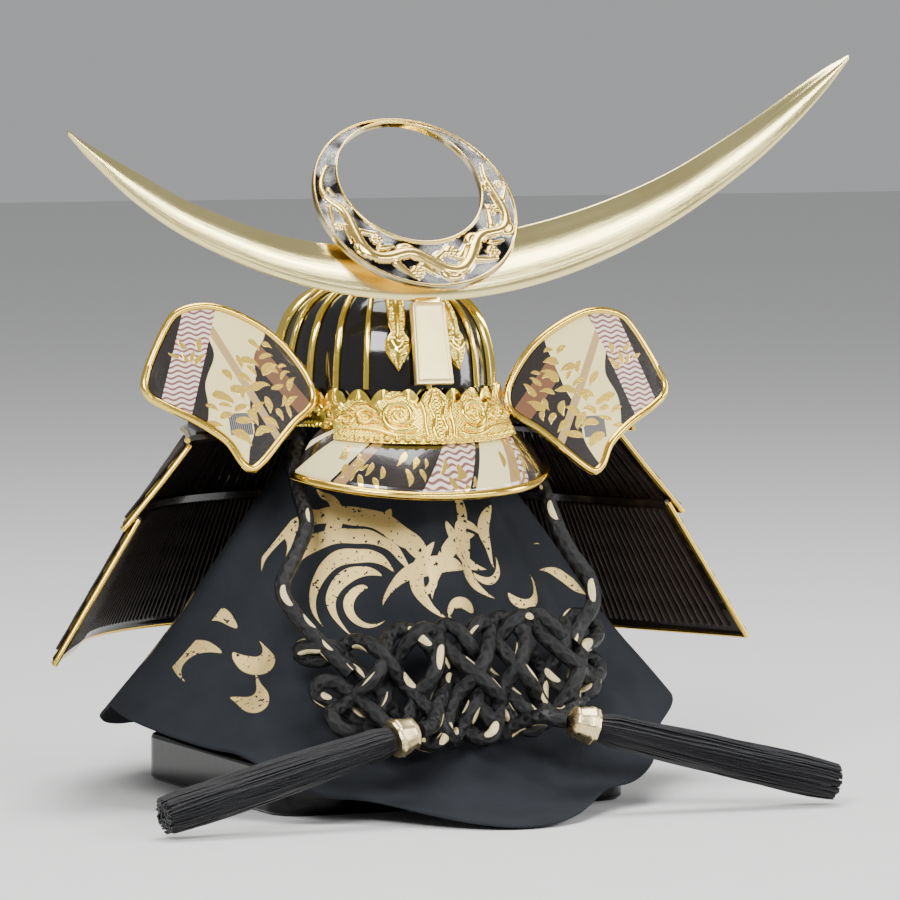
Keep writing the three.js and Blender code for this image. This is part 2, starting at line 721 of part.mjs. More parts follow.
for (const tier of tiers) {
  add(tier.name, shell(
    tierSteps, 2,
    (u, v) => tierPoint(tier, u, v, 0),
    (u, v) => tierPoint(tier, u, v, tierThickness),
    false,
  ), ...lacquer);
  const reach = gap + tierRimRadius + 0.1;
  const lowerEdge = (u) => {
    const point = vector(tierPoint(tier, u, 1, tierThickness / 2));
    const before = vector(tierPoint(tier, u, 0.8, tierThickness / 2));
    return point.add(point.clone().sub(before).normalize().multiplyScalar(reach)).toArray();
  };
  const frontEdge = (u, v) => {
    const point = tierPoint(tier, u, v, tierThickness / 2);
    return [point[0], point[1] - reach, point[2]];
  };
  const path = Array.from({ length: tierSteps + 1 }, (_, i) => lowerEdge(i / tierSteps));
  if (tier.meetsWings) {
    path[0] = mixPoint(path[0], path[1], 0.2);
    path[tierSteps] = mixPoint(path[tierSteps], path[tierSteps - 1], 0.2);
  } else {
    path[0][1] -= reach;
    path[tierSteps][1] -= reach;
    for (const v of [0.5, 0.04]) {
      path.unshift(frontEdge(0, v));
      path.push(frontEdge(1, v));
    }
  }
  add(`${tier.name}_rim`, bead(path, tierRimRadius, 4), ...gold);
}

// Stand: a square plinth with round corners, a round post and a small domed head.
const half = plinthWidth / 2 - plinthBevel;
const plinthShape = new THREE.Shape();
for (let corner = 0; corner < 4; corner += 1) {
  const turn = (corner * Math.PI) / 2 + Math.PI / 4;
  const cx = Math.sign(Math.cos(turn)) * (half - plinthCorner);
  const cy = Math.sign(Math.sin(turn)) * (half - plinthCorner);
  for (let i = 0; i <= 3; i += 1) {
    const angle = (corner * Math.PI) / 2 + (i / 3) * (Math.PI / 2);
    const [x, y] = [cx + plinthCorner * Math.cos(angle), cy + plinthCorner * Math.sin(angle)];
    if (corner === 0 && i === 0) plinthShape.moveTo(x, y);
    else plinthShape.lineTo(x, y);
  }
}
const plinth = new THREE.ExtrudeGeometry(plinthShape, {
  depth: plinthHeight - 2 * plinthBevel,
  bevelThickness: plinthBevel,
  bevelSize: plinthBevel,
  bevelSegments: 1,
  steps: 1,
});
plinth.translate(0, 0, plinthBevel);
add('stand_plinth', plain(plinth), ...lacquer);

const innerCrown = bowlFoot + bowlHeight - bowlWall;
const clothTop = innerCrown - gap;
const headTop = clothTop - clothWall - gap;
const headFoot = headTop - headThickness;
const postFoot = plinthHeight + gap;
const postTop = headFoot - gap;
const post = new THREE.CylinderGeometry(postRadius, postRadius, postTop - postFoot, 16);
post.rotateX(Math.PI / 2);
post.translate(0, 0, (postTop + postFoot) / 2);
add('stand_post', plain(post), ...lacquer);
const headProfile = [
  [0, 0], [0.86, 0], [1, 0.2], [1, 0.5], [0.84, 0.7], [0.45, 0.87], [0, 1],
].map(([out, up]) => new THREE.Vector2(out * headRadius, headFoot + up * headThickness));
const head = new THREE.LatheGeometry(headProfile, 16);
head.rotateX(Math.PI / 2);
add('stand_head', plain(head), ...lacquer);

// Cloth: it falls from the head over the plinth. Shares of the fall for the front and for the sides.
const clothTable = [
  { front: 0, frontFall: 0, side: 0, sideFall: 0 },
  { front: 0.045, frontFall: 0.12, side: 0.07, sideFall: 0.15 },
  { front: 0.11, frontFall: 0.27, side: 0.15, sideFall: 0.33 },
  { front: 0.25, frontFall: 0.49, side: 0.37, sideFall: 0.5 },
  { front: 0.36, frontFall: 0.67, side: 0.56, sideFall: 0.66 },
  { front: 0.45, frontFall: 0.8, side: 0.7, sideFall: 0.78 },
  { front: 0.6, frontFall: 0.91, side: 0.82, sideFall: 0.87 },
  { front: 0.81, frontFall: 0.985, side: 0.92, sideFall: 0.94 },
  { front: 1, frontFall: 1, side: 1, sideFall: 1 },
];
// The hem, by angle from the front: its reach from the middle and its height.
const hemTable = [
  { angle: 0, reach: 122, height: 1.8 },
  { angle: 30, reach: 99, height: 9 },
  { angle: 55, reach: 96, height: 22 },
  { angle: 90, reach: 98, height: 32 },
  { angle: 130, reach: 92, height: 20 },
  { angle: 180, reach: 106, height: 6 },
];
function hemAt(angle) {
  const degrees = Math.abs(THREE.MathUtils.radToDeg(Math.atan2(Math.sin(angle), Math.cos(angle))));
  const next = Math.max(1, hemTable.findIndex((row) => row.angle >= degrees - 1e-9));
  const [a, b] = [hemTable[next - 1], hemTable[next]];
  const share = (degrees - a.angle) / (b.angle - a.angle);
  const soft = share * share * (3 - 2 * share);
  return { reach: mix(a.reach, b.reach, soft), height: mix(a.height, b.height, soft) };
}
const clothShoulder = clothTop - 2.6;
function clothPoint(u, v, inset) {
  const angle = 2 * Math.PI * u;
  if (v < 1 / 9 - 1e-6) return [0, 0, clothTop - inset];
  const place = (v - 1 / 9) / (8 / 9) * (clothTable.length - 1);
  const row = Math.min(Math.floor(place + 1e-6), clothTable.length - 2);
  const share = place - row;
  const [a, b] = [clothTable[row], clothTable[row + 1]];
  const frontness = Math.cos(angle) ** 2;
  const out = mix(mix(a.side, b.side, share), mix(a.front, b.front, share), frontness);
  const fall = mix(mix(a.sideFall, b.sideFall, share), mix(a.frontFall, b.frontFall, share), frontness);
  const hem = hemAt(angle);
  const fold = clothFold * Math.min(out * 2, 1) * Math.cos(clothFoldCount * angle)
    * (1 - 0.75 * Math.max(Math.cos(angle), 0) ** 4);
  const radius = mix(clothTopRadius, hem.reach, out) + fold - inset;
  const lower = fall > 0.97 ? inset * 0.55 * frontness : 0;
  return [
    radius * Math.sin(angle),
    -radius * Math.cos(angle),
    mix(clothShoulder, hem.height, fall) - inset * (1 - fall) - lower,
  ];
}
add('cloth', shell(
  32, 9,
  (u, v) => clothPoint(u, v, 0),
  (u, v) => clothPoint(u, v, clothWall),
  true,
), 0x202227, 0.9, 0);

// Knot: one rounded cushion of the knotted cord's outer shape, lying on the front of the cloth.
function clothFrontAt(height) {
  for (let i = 0; i < 80; i += 1) {
    const point = clothPoint(0, mix(1 / 9, 1, i / 80), 0);
    if (point[2] <= height) return point[1];
  }
  return clothPoint(0, 1, 0)[1];
}
const boxy = (value) => Math.sign(value) * Math.abs(value) ** 0.62;
function knotPoint(u, v) {
  const turn = 2 * Math.PI * u;
  const rise = Math.PI * (v - 0.5);
  const across = v <= 0 || v >= 1 ? 0 : boxy(Math.cos(rise)) * boxy(Math.cos(turn));
  const deep = v <= 0 || v >= 1 ? 0 : Math.cos(rise) * Math.sin(turn);
  const height = knotHeight + knotHalfHeight * boxy(Math.sin(rise));
  const seat = clothFrontAt(height) - gap - 0.5 - knotHalfThickness;
  return [
    knotHalfWidth * across - 2,
    seat - knotHalfThickness * deep + knotWrap * across ** 2 * 0.8,
    height,
  ];
}
const knotRings = [];
for (let j = 1; j < 10; j += 1) {
  knotRings.push(Array.from({ length: 20 }, (_, i) => knotPoint(i / 20, j / 10)));
}
add('cord_knot', loft(knotRings), ...blackCord);

// Chin cord: from the knot up the left, round the back under the bowl, and down the right.
const cordSide = bowlHalfWidth - 0.2;
const cordBack = bowlHalfDepth - 0.2;
const cordHeight = bandFoot - gap - cordDiameter / 2;
const cordShoulder = (side, away) => {
  const point = knotPoint(side < 0 ? 0.5 : 0, 0.7);
  return [point[0] + side * 0.75 * away, point[1], point[2] + 0.66 * away];
};
const cordPoints = [
  cordShoulder(-1, gap + 0.2),
  cordShoulder(-1, 7),
  [-58.8, -56.5, 74.5],
  [-51.5, -50.5, 85],
  [-46, -46, 94],
  [-43.5, -33, 103.5],
  [-41.5, -24, 113],
];
for (let i = 0; i <= 12; i += 1) {
  const angle = mix(rad(-108), rad(108), i / 12);
  cordPoints.push([cordSide * Math.sin(angle), cordBack * Math.cos(angle), cordHeight]);
}
cordPoints.push(
  [41.5, -24, 113],
  [43.5, -33, 103.5],
  [44, -45, 91],
  [46.5, -51, 82],
  [50.5, -56.5, 74],
  cordShoulder(1, 7),
  cordShoulder(1, gap + 0.2),
);
const cordCurve = new THREE.CatmullRomCurve3(cordPoints.map(vector), false, 'centripetal');
const cordSection = new THREE.Shape(Array.from({ length: 8 }, (_, i) => new THREE.Vector2(
  (cordDiameter / 2) * Math.cos((i / 8) * 2 * Math.PI),
  (cordDiameter / 2) * Math.sin((i / 8) * 2 * Math.PI),
)));
add('chin_cord', plain(new THREE.ExtrudeGeometry(cordSection, {
  steps: 36, bevelEnabled: false, extrudePath: cordCurve,
})), ...blackCord);

// Tassels: a gilt cap and a skirt of strands, lying out to each side.
const tasselTable = [
  { along: 0, size: 0.62 }, { along: 0.05, size: 0.86 }, { along: 0.14, size: 0.8 },
  { along: 0.3, size: 0.95 }, { along: 0.6, size: 1 }, { along: 0.88, size: 0.94 }, { along: 1, size: 0.72 },
];
// Each cap meets the front of the knot, which its facets let it come nearer to than the smooth form by
// capSink. Its tassel runs out to the surface that the plinth stands on.
function beforeKnot(x, z) {
  const reach = capRadius + gap;
  let front = 0;
  for (let i = 0; i < 80; i += 1) {
    for (let j = 1; j < 60; j += 1) {
      const point = knotPoint(i / 80, j / 60);
      const apart = point[2] - z;
      if (Math.abs(point[0] - x) < capLength / 2 + 1 && Math.abs(apart) < reach) {
        front = Math.min(front, point[1] - Math.sqrt(reach ** 2 - apart ** 2));
      }
    }
  }
  return front + capSink;
}
const tasselEnds = [
  { name: 'left', from: [-27, beforeKnot(-31, 29), 30], to: [-117, -101, 7.4] },
  { name: 'right', from: [27, beforeKnot(31, 30), 31], to: [120, -101, 7.4] },
];
const lobes = 9;
for (const side of tasselEnds) {
  const from = vector(side.from);
  const to = vector(side.to);
  const along = to.clone().sub(from).normalize();
  const across = new THREE.Vector3(0, 0, 1).cross(along).normalize();
  const up = along.clone().cross(across);
  const ringAt = (centre, radiusAt, sides) => Array.from({ length: sides }, (_, i) => {
    const angle = (i / sides) * 2 * Math.PI;
    const size = radiusAt(i);
    return centre.clone().addScaledVector(across, size * Math.cos(angle))
      .addScaledVector(up, size * Math.sin(angle)).toArray();
  });
  const capEnd = from.clone().addScaledVector(along, capLength);
  const capRings = [
    [0, 0.55], [0.15, 0.86], [0.45, 0.92], [0.8, 1], [1, 1],
  ].map(([share, size]) => ringAt(from.clone().lerp(capEnd, share), () => size * capRadius, 12));
  add(`${side.name}_tassel_cap`, loft(capRings), ...paleGold);
  const start = capEnd.clone().addScaledVector(along, gap);
  const skirt = tasselTable.map((row) => ringAt(
    start.clone().lerp(to, row.along),
    (i) => tasselRadius * row.size * (i % 2 === 0 ? 1 : 0.86),
    lobes * 2,
  ));
  add(`${side.name}_tassel`, loft(skirt), ...blackCord);
}

export default helmet;
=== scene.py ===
import bpy
import numpy as np
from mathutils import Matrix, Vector


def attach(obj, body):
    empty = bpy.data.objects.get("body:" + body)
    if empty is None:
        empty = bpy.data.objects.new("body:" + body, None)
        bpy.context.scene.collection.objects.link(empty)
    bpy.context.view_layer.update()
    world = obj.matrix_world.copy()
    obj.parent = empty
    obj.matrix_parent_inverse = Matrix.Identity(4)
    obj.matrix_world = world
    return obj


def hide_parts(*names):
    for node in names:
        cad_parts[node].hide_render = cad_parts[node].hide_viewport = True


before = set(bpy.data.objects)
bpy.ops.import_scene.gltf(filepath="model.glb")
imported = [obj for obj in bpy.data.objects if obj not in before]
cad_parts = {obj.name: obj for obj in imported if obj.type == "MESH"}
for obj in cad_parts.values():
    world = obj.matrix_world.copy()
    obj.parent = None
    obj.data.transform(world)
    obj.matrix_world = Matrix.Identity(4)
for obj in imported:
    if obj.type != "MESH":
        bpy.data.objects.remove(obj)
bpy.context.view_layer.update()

# The camera stands where the photograph was taken from, to the left of the helmet and a little above its
# visor. It is aimed at the middle of the helmet, with the lens drawn in until the helmet fills the picture.
camera_place = Vector((-0.8497, -2.0601, 0.2671))
camera_aim = Vector((0.0160, -0.0200, 0.1150))
camera = bpy.data.objects.new("camera", bpy.data.cameras.new("camera"))
bpy.context.scene.collection.objects.link(camera)
camera.location = camera_place
camera.rotation_euler = (camera_aim - camera_place).to_track_quat("-Z", "Y").to_euler()
camera.data.lens = 266.0
camera.data.sensor_width = 36.0
camera.data.clip_end = 20.0
bpy.context.scene.camera = camera


# Chin cord: a round black silk braid flecked with gold, one loop that runs from the knot up the left side,
# round the back under the bowl's foot and down the right. It is plaited on a round braider, so its surface
# shows slanting plaits.
def put(tree, kind, inputs=None, **settings):
    """Adds one shader node, sets it up, and feeds its sockets with values or with other nodes' outputs."""
    node = tree.nodes.new(kind)
    for key, value in settings.items():
        setattr(node, key, value)
    for key, value in (inputs or {}).items():
        if isinstance(value, bpy.types.NodeSocket):
            tree.links.new(value, node.inputs[key])
        else:
            node.inputs[key].default_value = value
    return node


def reckon(tree, operation, *values):
    """One sum on numbers or sockets, such as MULTIPLY or GREATER_THAN."""
    return put(tree, "ShaderNodeMath", dict(enumerate(values)), operation=operation).outputs[0]


def times(tree, first, second):
    """One value times another."""
    return reckon(tree, "MULTIPLY", first, second)


def plus(tree, first, second):
    """One value and another added up."""
    return reckon(tree, "ADD", first, second)


def minus(tree, first, second):
    """One value less another."""
    return reckon(tree, "SUBTRACT", first, second)


def blend_colour(tree, share, first, second):
    """The first colour where share is 0 and the second where it is 1."""
    return put(tree, "ShaderNodeMix", {0: share, 6: first, 7: second}, data_type="RGBA").outputs[2]


def noise(tree, place, scale, detail):
    """Cloudy noise from 0 to 1, with about scale clouds to each unit of the place."""
    return put(tree, "ShaderNodeTexNoise", {"Vector": place, "Scale": scale, "Detail": detail}).outputs[0]


def object_place(tree):
    """The place on the real piece, in metres."""
    return put(tree, "ShaderNodeTexCoord").outputs["Object"]


def flat_place(tree):
    """The place on the piece's own flat pattern."""
    return put(tree, "ShaderNodeUVMap", uv_map="flat").outputs[0]


def split(tree, place):
    """The separate numbers of a place."""
    return put(tree, "ShaderNodeSeparateXYZ", {0: place}).outputs


def feed(tree, shader, **values):
    """Links values to the shader's sockets of these names."""
    for key, value in values.items():
        tree.links.new(value, shader.inputs[key.replace("_", " ")])


def new_finish(name, **plain):
    """A material with one Principled shader. Values that are the same all over are set on its own
    sockets."""
    material = bpy.data.materials.new(name)
    material.use_nodes = True
    shader = material.node_tree.nodes["Principled BSDF"]
    for key, value in plain.items():
        shader.inputs[key.replace("_", " ")].default_value = value
    return material, material.node_tree, shader


def raise_surface(tree, shader, height, distance, strength=1.0):
    """Feeds a height in 0 to 1 to the shader's normal, as relief of that many metres."""
    bump = put(tree, "ShaderNodeBump", {"Height": height, "Distance": distance, "Strength": strength})
    feed(tree, shader, Normal=bump.outputs[0])


def smooth_path(knots, count, loop=False):
    """A smooth curve through the given places, as cubic pieces whose slopes join each neighbour's
    neighbours, walked off again in equal steps."""
    knots = np.asarray(knots, float)
    if loop:
        around = np.concatenate([knots[-1:], knots, knots[:2]])
    else:
        around = np.concatenate([2 * knots[:1] - knots[1:2], knots, 2 * knots[-1:] - knots[-2:-1]])
    spans = len(around) - 3
    t = np.linspace(0, spans, spans * 24, endpoint=False)
    k, s = t.astype(int), (t % 1)[:, None]
    a, b, c, d = around[k], around[k + 1], around[k + 2], around[k + 3]
    fine = 0.5 * (2 * b + (c - a) * s + (2 * a - 5 * b + 4 * c - d) * s**2 + (3 * b - a - 3 * c + d) * s**3)
    fine = np.concatenate([fine, around[-2:-1]])
    walked = np.concatenate([[0], np.cumsum(np.linalg.norm(np.diff(fine, axis=0), axis=1))])
    stops = np.linspace(0, walked[-1], count, endpoint=not loop)
    return np.stack([np.interp(stops, walked, fine[:, axis]) for axis in range(3)], 1)


def carry_round(path, radius, sides, loop=False):
    """Carries a circle along a path: each ring stands square to the path and turns as little as it can from
    the last. The radius is a number or one value for each step."""
    ahead = np.roll(path, -1, 0) - np.roll(path, 1, 0)
    if not loop:
        ahead[0], ahead[-1] = path[1] - path[0], path[-1] - path[-2]
    ahead /= np.linalg.norm(ahead, axis=1)[:, None]
    across = np.empty_like(path)
    side = np.cross((0.36, 0.48, 0.8), ahead[0])
    for step, direction in enumerate(ahead):
        side = side - direction * (side @ direction)
        side = side / np.linalg.norm(side)
        across[step] = side
    up = np.cross(ahead, across)
    turn = circle(sides)[None, :, None]
    size = np.broadcast_to(np.asarray(radius, float), len(path))[:, None, None]
    return path[:, None] + size * (np.cos(turn) * across[:, None] + np.sin(turn) * up[:, None])


def circle(count):
    """Angles of a full turn in that many equal steps."""
    return np.linspace(0, 2 * np.pi, count, endpoint=False)


def path_length(path):
    """The length along a path."""
    return float(np.linalg.norm(np.diff(path, axis=0), axis=1).sum())


def grid_part(points, ring=False, loop=False, ends=False, pole=False, size=(1.0, 1.0)):
    """Corners, faces and flat places of a surface given as (rows, columns, 3). ring joins the last column
    to the first, loop the last row to the first, ends closes the first and last row, and pole closes the
    last column."""
    rows, cols = points.shape[:2]
    i, j = np.meshgrid(np.arange(rows - (not loop)), np.arange(cols - (not ring)), indexing="ij")
    after_i, after_j = (i + 1) % rows, (j + 1) % cols
    faces = np.stack([i * cols + j, i * cols + after_j, after_i * cols + after_j, after_i * cols + j], -1)
    flat = np.stack([
        np.stack([i, i, i + 1, i + 1], -1) * size[0] / max(rows - 1, 1),
        np.stack([j, j + 1, j + 1, j], -1) * size[1] / max(cols - 1, 1),
    ], -1)
    corners = points.reshape(-1, 3)
    faces, flat = faces.reshape(-1, 4), flat.reshape(-1, 4, 2)
    extra = []
    if ends:
        extra += [list(range(cols))[::-1], list(range((rows - 1) * cols, rows * cols))]
    if pole:
        corners = np.concatenate([corners, points[:, -1].mean(0)[None]])
        rim = np.arange(rows) * cols + cols - 1
        extra += [[int(p), rows * cols, int(q)] for p, q in zip(rim, np.roll(rim, -1))]
    if pole == "both":
        corners = np.concatenate([corners, points[:, 0].mean(0)[None]])
        rim = np.arange(rows) * cols
        extra += [[int(q), rows * cols + 1, int(p)] for p, q in zip(rim, np.roll(rim, -1))]
    return {"corners": corners, "faces": faces, "flat": flat, "extra": extra}


def tube(path, radius, sides, loop=False, size=(1.0, 1.0)):
    """A round bar along a path, closed at its ends or joined into a loop."""
    return grid_part(carry_round(path, radius, sides, loop), ring=True, loop=loop, ends=not loop, size=size)


def closed_plate(face, back, loop=False):
    """The closed body between two like grids."""
    return grid_part(np.concatenate([face, back[:, ::-1]], 1), ring=True, loop=loop, ends=not loop)


def build(name, stands_for, parts, finish, sharp=40.0, wall=0.0):
    """One object from any number of surfaces, with the solid it stands for. Closed surfaces
    are turned to face outwards, and wall gives an open one its thickness, away from its face."""
    corners, faces, flat, start = [], [], [], 0
    for part in parts:
        quads = part["faces"]
        p = part["corners"][quads]
        volume = (p[:, 0] * np.cross(p[:, 1], p[:, 2])).sum() + (p[:, 0] * np.cross(p[:, 2], p[:, 3])).sum()
        turned = volume < 0 and not wall
        step = -1 if turned else 1
        faces += [list(face)[::step] for face in (quads + start).tolist()]
        flat.append(part["flat"][:, ::step].reshape(-1, 2))
        for face in part["extra"]:
            faces.append([corner + start for corner in face][::step])
            flat.append(np.zeros((len(face), 2)))
        corners.append(part["corners"])
        start += len(part["corners"])
    mesh = bpy.data.meshes.new(name)
    mesh.from_pydata(np.concatenate(corners).tolist(), [], faces)
    mesh.uv_layers.new(name="flat").data.foreach_set("uv", np.concatenate(flat).ravel())
    mesh.polygons.foreach_set("use_smooth", np.ones(len(faces), bool))
    mesh.set_sharp_from_angle(angle=np.radians(sharp))
    mesh.materials.append(finish)
    piece = bpy.data.objects.new(name, mesh)
    bpy.context.scene.collection.objects.link(piece)
    if wall:
        solid = piece.modifiers.new("wall", "SOLIDIFY")
        solid.thickness, solid.offset, solid.use_even_offset = wall, -1.0, True
    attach(piece, "root")
    if stands_for:
        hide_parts(stands_for)
    return piece


cord_width = 0.0052
plaits_round, fleck_every, flecks_round, fleck_half = 4, 0.0105, 3.0, 0.40


def braid_finish(name, dark, light, fleck, fleck_share, pitch):
    """Round braid: slanting plaits from two crossed sets of waves on the cord's own length and turn, with
    some plaits in a light thread where a cell pattern says so. The plaits are painted shade: darker in the
    grooves between them and lighter on their crests."""
    material, tree, shader = new_finish(name, Roughness=0.30, Specular_IOR_Level=0.28)
    flat = flat_place(tree)
    parts = split(tree, flat)
    along = times(tree, parts[0], 2 * np.pi / pitch)
    around = times(tree, parts[1], 2 * np.pi * plaits_round)
    left = reckon(tree, "SINE", plus(tree, along, around))
    right = reckon(tree, "SINE", minus(tree, along, around))
    plait = reckon(tree, "MULTIPLY_ADD", reckon(tree, "MAXIMUM", left, right), 0.5, 0.5)
    place = put(tree, "ShaderNodeCombineXYZ", {
        0: times(tree, parts[0], 1 / fleck_every),
        1: times(tree, parts[1], flecks_round),
    })
    cells = put(tree, "ShaderNodeTexVoronoi", {"Vector": place.outputs[0], "Scale": 1.0, "Randomness": 0.55})
    draw = put(tree, "ShaderNodeSeparateColor", {0: cells.outputs["Color"]}).outputs[0]
    chosen = reckon(tree, "LESS_THAN", draw, fleck_share)
    near = reckon(tree, "LESS_THAN", cells.outputs["Distance"], fleck_half)
    mask = times(tree, chosen, near)
    thread = noise(tree, flat, 900.0, 2.0)
    # Painted shade: the braid's colour is darker in the grooves between plaits and lighter on the plait
    # crests, following the plaits' relief.
    painted_plait_shade = blend_colour(tree, plait, dark, light)
    tone = blend_colour(tree, times(tree, mask, 0.94), painted_plait_shade, fleck)
    feed(tree, shader, Base_Color=tone)
    height = plus(tree, plait, times(tree, thread, 0.35))
    raise_surface(tree, shader, plus(tree, height, times(tree, mask, 0.3)), 0.00040)
    return material


black_braid = braid_finish(
    "black_braid", (0.002, 0.002, 0.002, 1), (0.008, 0.008, 0.009, 1), (0.80, 0.66, 0.34, 1), 0.30, 0.0050,
)
side_width, side_depth, cord_height = 0.0360, 0.0393, 0.1211
back_turn = np.radians(np.linspace(-108, 108, 13))
behind = np.stack([
    side_width * np.sin(back_turn), side_depth * np.cos(back_turn), 0 * back_turn + cord_height,
], 1)
up_left = [
    (-0.0400, -0.0700, 0.0470), (-0.0455, -0.0655, 0.0535), (-0.0520, -0.0615, 0.0610),
    (-0.0562, -0.0600, 0.0665), (-0.0588, -0.0565, 0.0745), (-0.0515, -0.0505, 0.0850),
    (-0.0460, -0.0460, 0.0940), (-0.0435, -0.0330, 0.1035), (-0.0415, -0.0240, 0.1130),
]
down_right = [
    (0.0415, -0.0240, 0.1130), (0.0435, -0.0330, 0.1035), (0.0440, -0.0450, 0.0910),
    (0.0465, -0.0510, 0.0820), (0.0505, -0.0565, 0.0740), (0.0500, -0.0612, 0.0660),
    (0.0455, -0.0620, 0.0597), (0.0400, -0.0660, 0.0535),
]
chin_route = np.concatenate([up_left, behind, down_right])
chin_path = smooth_path(chin_route, 260)
chin_length = path_length(chin_path)
chin_braid = tube(chin_path, cord_width / 2, 20, size=(chin_length, 1.0))
chin_cord = build("chin_braid", "chin_cord", [chin_braid], black_braid)

# Knot of the chin cord: the cord's slack is plaited across the front in seven passes to and fro, each
# passing over and under the others, with a round ear at each turn. Its two ends come out at the foot, into
# the tassels' caps.
knot_reach, knot_rise, knot_height, knot_front, knot_depth = 0.0440, 0.0170, 0.0418, -0.0765, 0.0036
knot_passes, knot_waves = 7, 1.5


def plait_pass(number):
    """One strand of a flat plait: it swings slantwise between the plait's edges as it goes across, with its
    share of the turn before the next, and moves in and out at each crossing."""
    forward = number % 2 == 0
    t = np.linspace(0, 1, 60) if forward else np.linspace(1, 0, 60)
    swing = 2 * np.pi * (knot_waves * t + number / knot_passes + 0.02 * np.sin(9 * t + 2.3 * number))
    slanting = np.sin(swing) - np.sin(3 * swing) / 9
    edge = 1 - 0.30 * np.abs(2 * t - 1) ** 3
    x = knot_reach * (2 * t - 1) + 0.0012 * np.sin(7 * t + 1.7 * number)
    z = knot_height + knot_rise * slanting * edge + 0.0070 * t**2
    y = knot_depth * np.sin(knot_passes / 2 * swing + np.pi * (number % 2))
    y = y - knot_depth * 2 / 3 * np.cos(swing) * (-1) ** number
    return np.stack([x, y, z], 1)


def ear(start, finish, out, deep):
    """A round turn outside the plait, from the end of one pass to the start of the next. Where the two ends
    lie close together it swells between them, so that the cord isn't bent sharply."""
    t = np.linspace(0, np.pi, 15)[1:-1][:, None]
    middle, half = (start + finish) / 2, (start - finish) / 2
    wide = np.linalg.norm(half)
    swell = max(0.0050 - wide, 0.0) / wide
    return middle + half * (np.cos(t) + swell * np.sin(2 * t)) + np.array([[out, deep, 0.0]]) * np.sin(t)


knot_runs = []
for number in range(knot_passes):
    run = plait_pass(number)
    if knot_runs:
        out = (0.0050 + 0.0030 * (number % 3)) * (1 if number % 2 else -1)
        knot_runs.append(ear(knot_runs[-1][-1], run[0], out, -0.003 + 0.003 * (number % 3)))
    knot_runs.append(run)
knot_runs[0], knot_runs[-1] = knot_runs[0][21:], knot_runs[-1][:-21]
knot_path = np.concatenate(knot_runs)
cloth_slope, cloth_round = 0.42, 0.0112 / 0.054**2
knot_path[:, 1] += knot_front + (knot_path[:, 2] - 0.0425) * cloth_slope
knot_path[:, 1] += cloth_round * (knot_path[:, 0] + 0.002) ** 2
left_lead = np.array([(-0.0262, -0.0944, 0.0302), (-0.0225, -0.0925, 0.0306), (-0.0185, -0.0885, 0.0318)])
right_lead = np.array([(0.0185, -0.0880, 0.0325), (0.0225, -0.0915, 0.0315), (0.0262, -0.0934, 0.0311)])
knot_path = smooth_path(np.concatenate([left_lead, knot_path[::2], right_lead]), 900)
for _ in range(8):
    knot_path[1:-1] = 0.5 * knot_path[1:-1] + 0.25 * (knot_path[2:] + knot_path[:-2])
knot_length = path_length(knot_path)
knot_braid = tube(knot_path, cord_width / 2, 16, size=(knot_length, 1.0))
knot_cord = build("knot_braid", "cord_knot", [knot_braid], black_braid)

# Tassels: a bundle of black rayon strands hung from each end of the cord, bound into a pale gilt cap. The
# strands are cut level and lie out to the sides, a little spread towards the ends.
tassel_ends = {
    "left": ((-0.0270, -0.0945, 0.0300), (-0.1170, -0.1010, 0.0074)),
    "right": ((0.0270, -0.0935, 0.0310), (0.1200, -0.1010, 0.0074)),
}
cap_length, tassel_radius, strand_width, strand_count = 0.0090, 0.0068, 0.00036, 540


def axes_along(start, finish):
    """The direction from start to finish, and two directions square to it."""
    ahead = (finish - start) / np.linalg.norm(finish - start)
    across = np.cross((0, 0, 1.0), ahead)
    across /= np.linalg.norm(across)
    return ahead, across, np.cross(ahead, across)


def turned_part(start, finish, profile, sides, flutes=0, flute=0.0):
    """A profile of (share along, radius) turned round the line from start to finish, with shallow
    flutes."""
    ahead, across, up = axes_along(start, finish)
    profile = np.asarray(profile, float)
    turn = circle(sides)[None, :, None]
    radius = profile[:, 1][:, None, None] * (1 + flute * np.cos(flutes * turn))
    middle = (start + (finish - start) * profile[:, :1])[:, None]
    return middle + radius * (np.cos(turn) * across + np.sin(turn) * up)


def strand_bundle(start, finish, count, steps, radius, thickness, seed):
    """Fine strands from a bound head to a spread end. Each keeps its own place in the bundle, with a slow
    wave of its own, and all of them are worked out at once."""
    chance = np.random.default_rng(seed)
    ahead, across, up = axes_along(start, finish)
    t = np.linspace(0, 1, steps)[None, :, None]
    turn = chance.uniform(0, 2 * np.pi, (count, 1, 1))
    reach = np.sqrt(chance.uniform(0.05, 1, (count, 1, 1)))
    swell = np.interp(t, [0, 0.04, 0.12, 0.5, 0.9, 1], [0.62, 0.84, 0.8, 0.96, 1.0, 0.9])
    wave = chance.uniform(0, 6.28, (count, 1, 1))
    place = radius * reach * swell - thickness
    turn = turn + 0.12 * np.sin(3.1 * t * (1 + 0.3 * np.sin(wave)) + wave)
    place = place + 0.00025 * np.sin(9 * t + wave)
    far = 1 - 0.02 * chance.uniform(0, 1, (count, 1, 1))
    middle = start + (finish - start) * t * far + place * (np.cos(turn) * across + np.sin(turn) * up)
    corner = circle(4)[None, None, :, None]
    ring = thickness * (np.cos(corner) * across + np.sin(corner) * up)
    return middle[:, :, None] + ring


